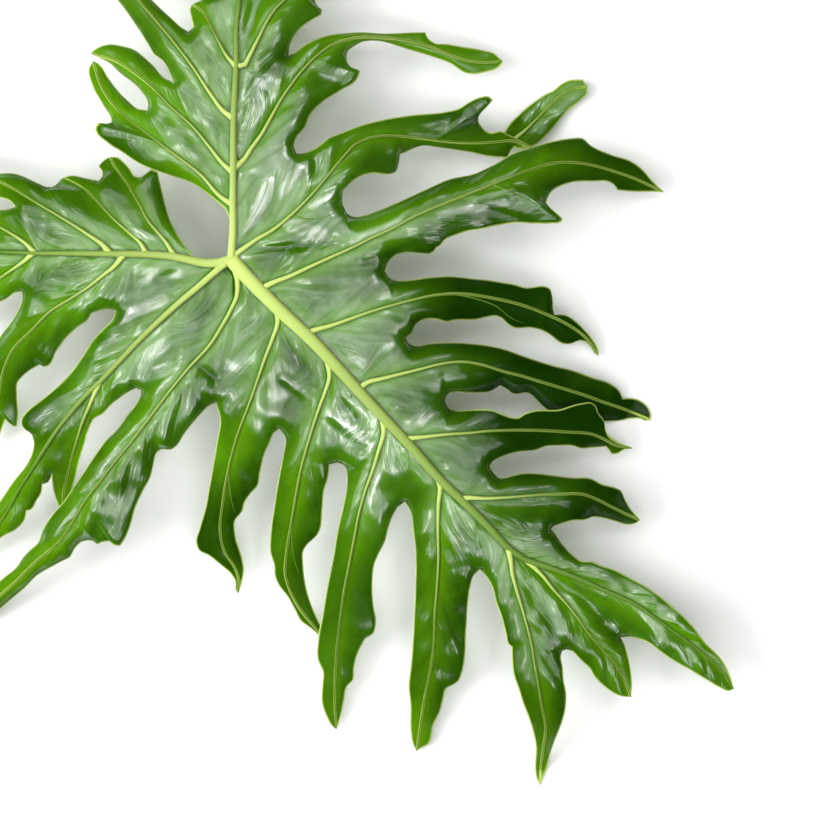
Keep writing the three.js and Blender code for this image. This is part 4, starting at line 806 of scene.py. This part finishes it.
def ripples(s, d, crinkle):
    """Height in millimetres of the ripples that run out from the veins, from places along and across"""
    broad = noise.noise(Vector(((s - 0.9 * d) / 9, d / 30, 5.2)))
    slant = (s - 2.2 * d) / 2.4
    fine = noise.noise(Vector((slant / 3.4, d / 14, 9.4)))
    creased = 0.35 - abs(noise.noise(Vector((slant / 6, d / 18, 2.6))))
    return broad * (0.4 + 0.5 * crinkle) + fine * (0.08 + 0.5 * crinkle) + creased * crinkle * 2


def folds(x, y):
    """Height in millimetres of the folds that stand out at a place, with the shares of it that they take up,
    that lie in a groove and that shine on top of a fold"""
    height = taken = groove = shine = 0
    for (ax, ay), (bx, by), half, lift in FOLDS:
        size = math.hypot(bx - ax, by - ay)
        t = ((x - ax) * (bx - ax) + (y - ay) * (by - ay)) / size
        off = ((y - ay) * (bx - ax) - (x - ax) * (by - ay)) / size
        past = max(0, -t, t - size)
        near = (off * off + past * past) / (half * half)
        height += lift * math.exp(-near)
        taken = max(taken, math.exp(-near / 3))
        if lift < 0:
            groove = max(groove, math.exp(-near))
        else:
            shine = max(shine, min(1, 1.4 - near))
    return height, taken, groove, shine


def patch_at(patches, x, y):
    """Strength at a place of the strongest of the patches, which fade to their edges"""
    return max(strength * min(1, max(0, 1.5 - 1.5 * math.hypot(x - mx, y - my) / reach))
               for (mx, my), reach, strength in patches)


def object_from(name, mesh, materials):
    data = bpy.data.meshes.new(name)
    mesh.to_mesh(data)
    mesh.free()
    for material in materials:
        data.materials.append(material)
    for face in data.polygons:
        face.use_smooth = True
    made = bpy.data.objects.new(name, data)
    bpy.context.scene.collection.objects.link(made)
    return made


def add_node(tree, kind, settings=None, links=None):
    """Adds a node, sets its settings and socket values, and links its inputs"""
    node = tree.nodes.new(kind)
    for key, value in (settings or {}).items():
        if isinstance(key, str) and hasattr(node, key):
            setattr(node, key, value)
        else:
            node.inputs[key].default_value = value
    for key, source in (links or {}).items():
        tree.links.new(source, node.inputs[key])
    return node


def new_material(name):
    material = bpy.data.materials.new(name)
    material.use_nodes = True
    tree = material.node_tree
    tree.nodes.clear()
    return material, tree


def waxy_blade(settings):
    """Fresh leaf blade, grown with a wax skin: dark green, with a clear sheen that breaks into streaks, and
    painted shade along the veins, in the grooves and on the lobes that droop away from the light
    """
    material, tree = new_material("Waxy leaf blade")
    place = add_node(tree, "ShaderNodeTexCoord").outputs["Object"]
    growth = add_node(tree, "ShaderNodeUVMap", {"uv_map": "Growth"}).outputs["UV"]
    vein, rim, shade_and_deep, crinkled, shine = (
        add_node(tree, "ShaderNodeAttribute", {"attribute_name": name}).outputs["Fac"]
        for name in ("vein_mm", "rim_mm", "shade_and_deep", "crinkled", "shine"))

    # Clouded green: patches about 42 mm across that break up down to less than 1 mm
    clouds = add_node(tree, "ShaderNodeTexNoise",
                      {"Scale": 1 / (CLOUD_SIZE * MM), "Detail": 7.0, "Roughness": 0.68},
                      {"Vector": place}).outputs["Fac"]
    ramp = add_node(tree, "ShaderNodeValToRGB", {}, {"Fac": clouds})
    for element, position, share in zip(ramp.color_ramp.elements, (0.34, 0.66), (0.42, 1.25)):
        element.position = position
        element.color = (*(np.array(settings.blade_colour) * share), 1)
    green = ramp.outputs["Color"]

    # Fresher green near the veins; painted shade, partly a deeper green, on the listed patches and in the
    # grooves; painted contact shade as a dark line along each vein; and a pale rim 0.9 mm wide
    for source, full, none, strength, colour in (
        (vein, 0.5, 10.0, 0.4, "#6AA404"),
        # painted shade on the drooping lobes and in the grooves, partly a deeper green
        (shade_and_deep, 1.0, 0.0, 0.95, "#0E2E00"),
        # painted contact shade: a dark line beside each vein
        (vein, 0.1, 1.3, 0.8, "#163C02"),
        (rim, 0.2, 0.9, 1.0, "#B4CC62"),
    ):
        share = add_node(tree, "ShaderNodeMapRange",
                         {"From Min": full, "From Max": none, "To Min": strength, "To Max": 0.0},
                         {"Value": source}).outputs["Result"]
        green = add_node(tree, "ShaderNodeMix", {"data_type": "RGBA", "B": (*to_linear(colour), 1)},
                         {"Factor": share, "A": green}).outputs["Result"]

    # Grain along the fine side veins, which slant forward from the lobe's own vein. The finest of them are
    # too fine to show, so it is drawn much coarser
    apart = add_node(tree, "ShaderNodeSeparateXYZ", {}, {"Vector": growth}).outputs
    out = add_node(tree, "ShaderNodeMath", {"operation": "ABSOLUTE"}, {0: apart["Y"]}).outputs["Value"]
    slant = add_node(tree, "ShaderNodeMath", {"operation": "MULTIPLY_ADD", 1: -2.2}, {0: out, 2: apart["X"]})
    lines = add_node(tree, "ShaderNodeCombineXYZ", {}, {"X": slant.outputs["Value"], "Y": out})
    streak_scale = (1 / (STREAK_WIDTH * GROWTH_SCALE), 1 / (STREAK_LENGTH * GROWTH_SCALE), 1)
    stretched = add_node(tree, "ShaderNodeMapping", {"Scale": streak_scale},
                         {"Vector": lines.outputs["Vector"]})
    grain = add_node(tree, "ShaderNodeTexNoise", {"Scale": 1.0, "Detail": 3.0},
                     {"Vector": stretched.outputs["Vector"]}).outputs["Fac"]

    # The wax follows the grain, is patchy, thin where the painted shade lies and worn off the rim
    wax = add_node(tree, "ShaderNodeMapRange",
                   {"From Min": 0.37, "From Max": 0.57, "To Min": 0.5, "To Max": 1.0},
                   {"Value": grain}).outputs["Result"]
    coat = wax
    for source, first, last, least, most in (
        (clouds, 0.42, 0.56, 0.55, 1.0),
        (rim, 0.5, 3.5, 0.15, 1.0),
        (shade_and_deep, 0.0, 1.0, 1.0, 0.25),
    ):
        left = add_node(tree, "ShaderNodeMapRange",
                        {"From Min": first, "From Max": last, "To Min": least, "To Max": most},
                        {"Value": source})
        coat = add_node(tree, "ShaderNodeMath", {"operation": "MULTIPLY"},
                        {0: coat, 1: left.outputs["Result"]}).outputs["Value"]
    thick = add_node(tree, "ShaderNodeMath", {"operation": "MULTIPLY"}, {0: wax, 1: shine})
    gloss = add_node(tree, "ShaderNodeMapRange",
                     {"From Min": 0.1, "From Max": 1.0, "To Min": 2.15, "To Max": 4.2},
                     {"Value": thick.outputs["Value"]})

    # Creases along the grain, strongest where the blade is crinkled, over waves about 13 mm long
    depth = add_node(tree, "ShaderNodeMath", {"operation": "MULTIPLY_ADD", 1: 0.8, 2: 0.16}, {0: crinkled})
    creases = add_node(tree, "ShaderNodeMath", {"operation": "MULTIPLY"},
                       {0: grain, 1: depth.outputs["Value"]})
    streaks = add_node(tree, "ShaderNodeBump", {"Strength": 0.9, "Distance": BUMP_HEIGHT * MM},
                       {"Height": creases.outputs["Value"]})
    waves = add_node(tree, "ShaderNodeTexNoise",
                     {"Scale": 1 / (WAVE_SIZE * MM), "Detail": 3.0, "Roughness": 0.55},
                     {"Vector": place})
    relief = add_node(tree, "ShaderNodeBump", {"Strength": 0.1, "Distance": BUMP_HEIGHT * MM},
                      {"Height": waves.outputs["Fac"], "Normal": streaks.outputs["Normal"]}).outputs["Normal"]
    skin = add_node(tree, "ShaderNodeBsdfPrincipled",
                    {"Roughness": 0.6, "Specular IOR Level": 0.0, "Coat Roughness": 0.18},
                    {"Base Color": green, "Normal": relief, "Coat Normal": relief, "Coat Weight": coat,
                     "Coat IOR": gloss.outputs["Result"]})
    add_node(tree, "ShaderNodeOutputMaterial", {}, {"Surface": skin.outputs["BSDF"]})
    return material


def dull_underside(settings):
    """Underside of a fresh leaf, grown without wax: paler and duller than the upper face"""
    material, tree = new_material("Dull leaf underside")
    pale = blend(np.array(settings.blade_colour), np.array(settings.vein_colour), 0.22)
    skin = add_node(tree, "ShaderNodeBsdfPrincipled", {"Roughness": 0.55, "Base Color": (*pale, 1)})
    add_node(tree, "ShaderNodeOutputMaterial", {}, {"Surface": skin.outputs["BSDF"]})
    return material


def fleshy_vein(settings):
    """Fresh leaf vein, smooth and full of sap: pale yellow-green, greener to its tip, and a little shiny"""
    material, tree = new_material("Fleshy vein")
    share = add_node(tree, "ShaderNodeAttribute", {"attribute_name": "share"})
    ramp = add_node(tree, "ShaderNodeValToRGB", {}, {"Fac": share.outputs["Fac"]})
    pale, green = np.array(settings.vein_colour), np.array(settings.blade_colour)
    ramp.color_ramp.elements.new(0.5)
    for element, (position, greener) in zip(ramp.color_ramp.elements, ((0.0, 0.0), (0.25, 0.45), (0.7, 0.9))):
        element.position = position
        element.color = (*blend(pale, green, greener), 1)
    skin = add_node(tree, "ShaderNodeBsdfPrincipled",
                    {"Roughness": 0.4, "Specular IOR Level": 0.2, "Coat Weight": 0.12, "Coat Roughness": 0.2},
                    {"Base Color": ramp.outputs["Color"]})
    add_node(tree, "ShaderNodeOutputMaterial", {}, {"Surface": skin.outputs["BSDF"]})
    return material


def matt_card(settings):
    """Uncoated white card, pressed flat: even and without sheen, and a little bright of itself"""
    material, tree = new_material("Matt white card")
    skin = add_node(tree, "ShaderNodeBsdfPrincipled",
                    {"Roughness": 0.9, "Specular IOR Level": 0.2, "Base Color": (*settings.floor_colour, 1),
                     "Emission Color": (*settings.floor_colour, 1), "Emission Strength": 0.05})
    add_node(tree, "ShaderNodeOutputMaterial", {}, {"Surface": skin.outputs["BSDF"]})
    return material


def material_named(name, maker, settings):
    return bpy.data.materials.get(name) or maker(settings)


class LEAF_OT_blade(bpy.types.Operator):
    """Builds the blade with all its lobes, and the folded end of the forked lobe"""

    bl_idname = "leaf.blade"
    bl_label = "Leaf Blade"

    def execute(self, context):
        settings = context.scene.leaf
        mesh = bmesh.new()
        growth = mesh.loops.layers.uv.new("Growth")
        halves = []
        for lobe, before, after in lobe_gaps():
            halves += [half_lobe(lobe, before, 1), half_lobe(lobe, after, -1)]
        for k, places in enumerate(halves):
            places[:, :, 3] += HALF_APART * k
            add_grid(mesh, places, growth)
        bmesh.ops.remove_doubles(mesh, verts=mesh.verts, dist=BLADE_MERGE * MM)
        face_up(mesh)
        free = [vert for vert in mesh.verts if not vert.is_boundary]
        for _ in range(SMOOTHING_PASSES):
            bmesh.ops.smooth_vert(mesh, verts=free, factor=0.5, use_axis_x=False, use_axis_y=False,
                                  use_axis_z=True)
        folded = bmesh.new()
        folded_growth = folded.loops.layers.uv.new("Growth")
        for side in (1, -1):
            add_grid(folded, half_lobe(FOLDED_END, None, side), folded_growth)
        bmesh.ops.remove_doubles(folded, verts=folded.verts, dist=BLADE_MERGE * MM)
        spare = bpy.data.meshes.new("spare")
        folded.to_mesh(spare)
        folded.free()
        mesh.from_mesh(spare)
        bpy.data.meshes.remove(spare)
        face_up(mesh)

        lines = [(main.line, [main.half(stop) for stop in main.stops]) for main in MAINS.values()]
        for line in map(vein_line, [*LOBES, FOLDED_END]):
            run = run_along(line)
            lines.append((line, rib_half(run / run[-1])))
        rib_half_at = np.concatenate([half for _, half in lines])
        veins = tree_of(np.concatenate([line for line, _ in lines]))
        seams = tree_of(np.concatenate([seam_line(gap)[:, :3] for _, gap, _ in lobe_gaps()]))
        margins = tree_of([place_of(vert) for vert in mesh.verts if vert.is_boundary])
        vein_layer = mesh.verts.layers.float.new("vein_mm")
        rim_layer = mesh.verts.layers.float.new("rim_mm")
        shade_and_deep_layer = mesh.verts.layers.float.new("shade_and_deep")
        crinkle_layer = mesh.verts.layers.float.new("crinkled")
        shine_layer = mesh.verts.layers.float.new("shine")
        lift = settings.pucker_height
        for vert in mesh.verts:
            x, y, z = place_of(vert)
            _, nearest, gap = veins.find((x, y, z))
            vein_gap = gap - rib_half_at[nearest]
            vert[vein_layer] = vein_gap
            fold, taken, groove, shine = folds(x, y)
            # Painted shade, partly a deeper green, from the listed patches, and painted shade in the grooves
            vert[shade_and_deep_layer] = max(patch_at(SHADE_AND_DEEP_GREEN, x, y), 0.45 * groove)
            vert[shine_layer] = shine
            crinkle = patch_at(CRINKLED, x, y) * (1 - 0.7 * taken)
            vert[crinkle_layer] = crinkle
            vert[rim_layer] = margins.find((x, y, z))[2]
            if vert.co.z > 2 * REST_LEVEL * MM:
                along, across = vert.link_loops[0][growth].uv / GROWTH_SCALE
                calm = float(smooth(vein_gap / CALM_BY_VEIN))
                seam_calm = float(smooth(seams.find((x, y, z))[2] / CALM_BY_SEAM))
                height = calm * (puckers(x, y, crinkle) * (1 - 0.6 * taken) + fold)
                height += calm * seam_calm * ripples(along, abs(across), crinkle) * (1 - 0.85 * taken)
                height -= GROOVE_DEPTH * math.exp(-max(0, vein_gap) ** 2 / 4)
                vert.co.z = max(vert.co.z + lift * height, REST_LEVEL * MM)
        skin = material_named("Waxy leaf blade", waxy_blade, settings)
        under = material_named("Dull leaf underside", dull_underside, settings)
        blade = object_from("blade", mesh, [skin, under])
        solid = blade.modifiers.new("Thickness", "SOLIDIFY")
        solid.thickness = settings.blade_thickness
        solid.offset = 0
        solid.material_offset = 1
        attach(blade, "root")
        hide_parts("leaf")
        return {"FINISHED"}


def rib(mesh, line, half, lift, keel, sides=12, first=0.0):
    """Adds one vein, a tapered ridge rounded above and below; first is its share where it starts"""
    share = mesh.verts.layers.float.get("share") or mesh.verts.layers.float.new("share")
    run = run_along(line)
    t = run / run[-1]
    ahead = np.gradient(line[:, :2], axis=0)
    ahead /= np.linalg.norm(ahead, axis=1)[:, None]
    angle = np.linspace(0, 2 * np.pi, sides + 1)
    across = np.sign(np.cos(angle)) * np.abs(np.cos(angle)) ** 0.8
    up = np.sin(angle)
    made = bmesh.ops.create_grid(mesh, x_segments=sides, y_segments=len(line) - 1, size=1)
    for vert in made["verts"]:
        k = round((vert.co.x + 1) / 2 * sides)
        i = round((vert.co.y + 1) / 2 * (len(line) - 1))
        w = half(t[i]) * across[k]
        vert[share] = blend(first, 1, t[i])
        level = max(line[i, 2], REST_LEVEL) + up[k] * (lift(t[i]) if up[k] > 0 else keel(t[i]))
        vert.co = Vector((line[i, 0] - ahead[i, 1] * w + SHIFT[0], line[i, 1] + ahead[i, 0] * w + SHIFT[1],
                          max(level, FLOOR_CLEARANCE))) * MM


def close_ribs(mesh):
    bmesh.ops.remove_doubles(mesh, verts=mesh.verts, dist=RIB_MERGE * MM)
    edges = [edge for edge in mesh.edges if edge.is_boundary]
    bmesh.ops.holes_fill(mesh, edges=edges, sides=0)
    bmesh.ops.recalc_face_normals(mesh, faces=mesh.faces)


class LEAF_OT_main_veins(bpy.types.Operator):
    """Builds the four main veins, each running on into the lobe at its end"""

    bl_idname = "leaf.main_veins"
    bl_label = "Main Veins"

    def execute(self, context):
        settings = context.scene.leaf
        mesh = bmesh.new()
        by_name = {lobe["name"]: lobe for lobe in LOBES}
        for main in MAINS.values():
            vein = main.vein
            tail = vein_line(by_name[vein["next"]])
            line = np.concatenate([main.line, tail[1:]])
            run = run_along(line)
            share = run_along(main.line)[-1] / run[-1]

            def taper(pair, end, share=share):
                return lambda t: blend(pair[0], pair[1], t / share) if t < share else blend(
                    pair[1], end, (t - share) / (1 - share))

            half_blade = settings.blade_thickness / MM / 2
            lift = taper([value + half_blade for value in vein["lift"]], 0.4)
            rib(mesh, line, taper(vein["half"], 0.35), lift, taper(vein["keel"], 0.4), 16)
        close_ribs(mesh)
        skin = material_named("Fleshy vein", fleshy_vein, settings)
        veins = object_from("main_veins", mesh, [skin])
        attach(veins, "root")
        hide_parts("leaf")
        return {"FINISHED"}


class LEAF_OT_side_veins(bpy.types.Operator):
    """Builds the vein of every other lobe and the finer veins that fork off inside lobes"""

    bl_idname = "leaf.side_veins"
    bl_label = "Side Veins"

    def execute(self, context):
        settings = context.scene.leaf
        mesh = bmesh.new()
        lift = settings.vein_lift / MM
        half_blade = settings.blade_thickness / MM / 2
        carried = {main.vein["next"] for main in MAINS.values()}
        for lobe in [*LOBES, FOLDED_END]:
            if lobe.get("name") in carried:
                continue
            rib(mesh, vein_line(lobe), rib_half, lambda t: half_blade + lift * (1 - 0.9 * t) - 0.2,
                lambda t: half_blade + lift * (1 - t))
        blade = bpy.data.objects["blade"]
        seen = context.evaluated_depsgraph_get()
        for points, half in FINE_VEINS:
            line = curved(points, ROW_STEP)[0]
            starts = [Vector((x + SHIFT[0], y + SHIFT[1], 100)) * MM for x, y in line]
            hits = [blade.ray_cast(start, Vector((0, 0, -1)), depsgraph=seen)[1] for start in starts]
            line = np.array([[*point, hit.z / MM] for point, hit in zip(line, hits)])
            rib(mesh, line, lambda t, half=half: half * (0.8 - 0.5 * t), lambda t: 0.25 - 0.25 * t,
                lambda t: 0.3, first=0.6)
        close_ribs(mesh)
        skin = material_named("Fleshy vein", fleshy_vein, settings)
        veins = object_from("side_veins", mesh, [skin])
        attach(veins, "root")
        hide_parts("leaf")
        return {"FINISHED"}


class LEAF_OT_stem(bpy.types.Operator):
    """Builds the short stub of the cut stem under the leaf"""

    bl_idname = "leaf.stem"
    bl_label = "Stem Stub"

    def execute(self, context):
        settings = context.scene.leaf
        mesh = bmesh.new()
        radius = settings.stem_width / 2
        made = bmesh.ops.create_cone(mesh, cap_ends=True, segments=32, radius1=radius, radius2=radius * 0.91,
                                     depth=STEM_LENGTH * MM)
        x, y, top = STEM_TOP
        bmesh.ops.translate(mesh, verts=made["verts"], vec=(0, 0, (top - STEM_LENGTH / 2) * MM))
        for vert in mesh.verts:
            down = (top * MM - vert.co.z) / (STEM_LENGTH * MM)
            vert.co.x += (x + STEM_LEAN[0] * down + SHIFT[0]) * MM
            vert.co.y += (y + STEM_LEAN[1] * down + SHIFT[1]) * MM
        skin = material_named("Fleshy vein", fleshy_vein, settings)
        stem = object_from("stem", mesh, [skin])
        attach(stem, "root")
        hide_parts("leaf")
        return {"FINISHED"}


class LEAF_OT_stage(bpy.types.Operator):
    """Adds the pale floor, the soft lights and the camera straight above"""

    bl_idname = "leaf.stage"
    bl_label = "Stage"

    def execute(self, context):
        settings = context.scene.leaf
        mesh = bmesh.new()
        bmesh.ops.create_grid(mesh, x_segments=1, y_segments=1, size=6)
        floor = object_from("floor", mesh, [matt_card(settings)])

        def area(name, place, size, watts, aim, glossy=True):
            light = bpy.data.lights.new(name, "AREA")
            light.shape = "RECTANGLE"
            light.size, light.size_y = size
            light.energy = watts
            lamp = bpy.data.objects.new(name, light)
            lamp.location = place
            lamp.rotation_euler = (Vector(aim) - Vector(place)).to_track_quat("-Z", "Y").to_euler()
            lamp.visible_glossy = glossy
            context.scene.collection.objects.link(lamp)

        for k, (x, watts) in enumerate(((-2.05, 29), (-1.0, 22), (0.05, 29), (1.1, 23))):
            area(f"overhead_strip_{k}", (x, 0.3, 3.4), (1.05, 4.2), watts, (x, 0.3, 0))
        area("low_softbox", (1.75, -1.7, 3.4), (1.5, 1.5), 26, (1.75, -1.7, 0))
        area("side_softbox", (-3.4, -0.1, 2.3), (2.6, 2.6), 215, (0, 0, 0), False)
        for k, (x, y) in enumerate(((0.95, 0.95), (-1.4, 0.6), (-0.6, -1.15))):
            area(f"bright_square_{k}", (x, y, 3.35), (0.55, 0.55), 7.5, (x, y, 0))
        world = bpy.data.worlds.new("Dim room")
        world.use_nodes = True
        back = world.node_tree.nodes["Background"]
        back.inputs["Color"].default_value = (1, 1, 1, 1)
        back.inputs["Strength"].default_value = 0.02
        context.scene.world = world
        camera = bpy.data.cameras.new("camera")
        camera.lens = CAMERA_LENS
        camera.sensor_width = 36
        camera.clip_end = 20
        eye = bpy.data.objects.new("camera", camera)
        eye.location = (*((place + shift) * MM for place, shift in zip(CAMERA_OVER, SHIFT)), CAMERA_HEIGHT)
        context.scene.collection.objects.link(eye)
        context.scene.camera = eye
        context.scene.view_settings.view_transform = "Standard"
        return {"FINISHED"}


class LEAF_PT_panel(bpy.types.Panel):
    """Lists the leaf's sizes and the steps that build it"""

    bl_idname = "LEAF_PT_panel"
    bl_label = "Philodendron Leaf"
    bl_space_type = "VIEW_3D"
    bl_region_type = "UI"
    bl_category = "Leaf"

    def draw(self, context):
        settings = context.scene.leaf
        for name in LeafSettings.__annotations__:
            self.layout.prop(settings, name)
        for step in STEPS:
            self.layout.operator(step.bl_idname)


STEPS = (LEAF_OT_blade, LEAF_OT_main_veins, LEAF_OT_side_veins, LEAF_OT_stem, LEAF_OT_stage)
CLASSES = (LeafSettings, *STEPS, LEAF_PT_panel)


def register():
    for made in CLASSES:
        bpy.utils.register_class(made)
    bpy.types.Scene.leaf = bpy.props.PointerProperty(type=LeafSettings)


def unregister():
    del bpy.types.Scene.leaf
    for made in reversed(CLASSES):
        bpy.utils.unregister_class(made)


def main():
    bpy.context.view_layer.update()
    register()
    bpy.ops.leaf.blade()
    bpy.ops.leaf.main_veins()
    bpy.ops.leaf.side_veins()
    bpy.ops.leaf.stem()
    bpy.ops.leaf.stage()
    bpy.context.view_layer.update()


if __name__ == "__main__":
    main()
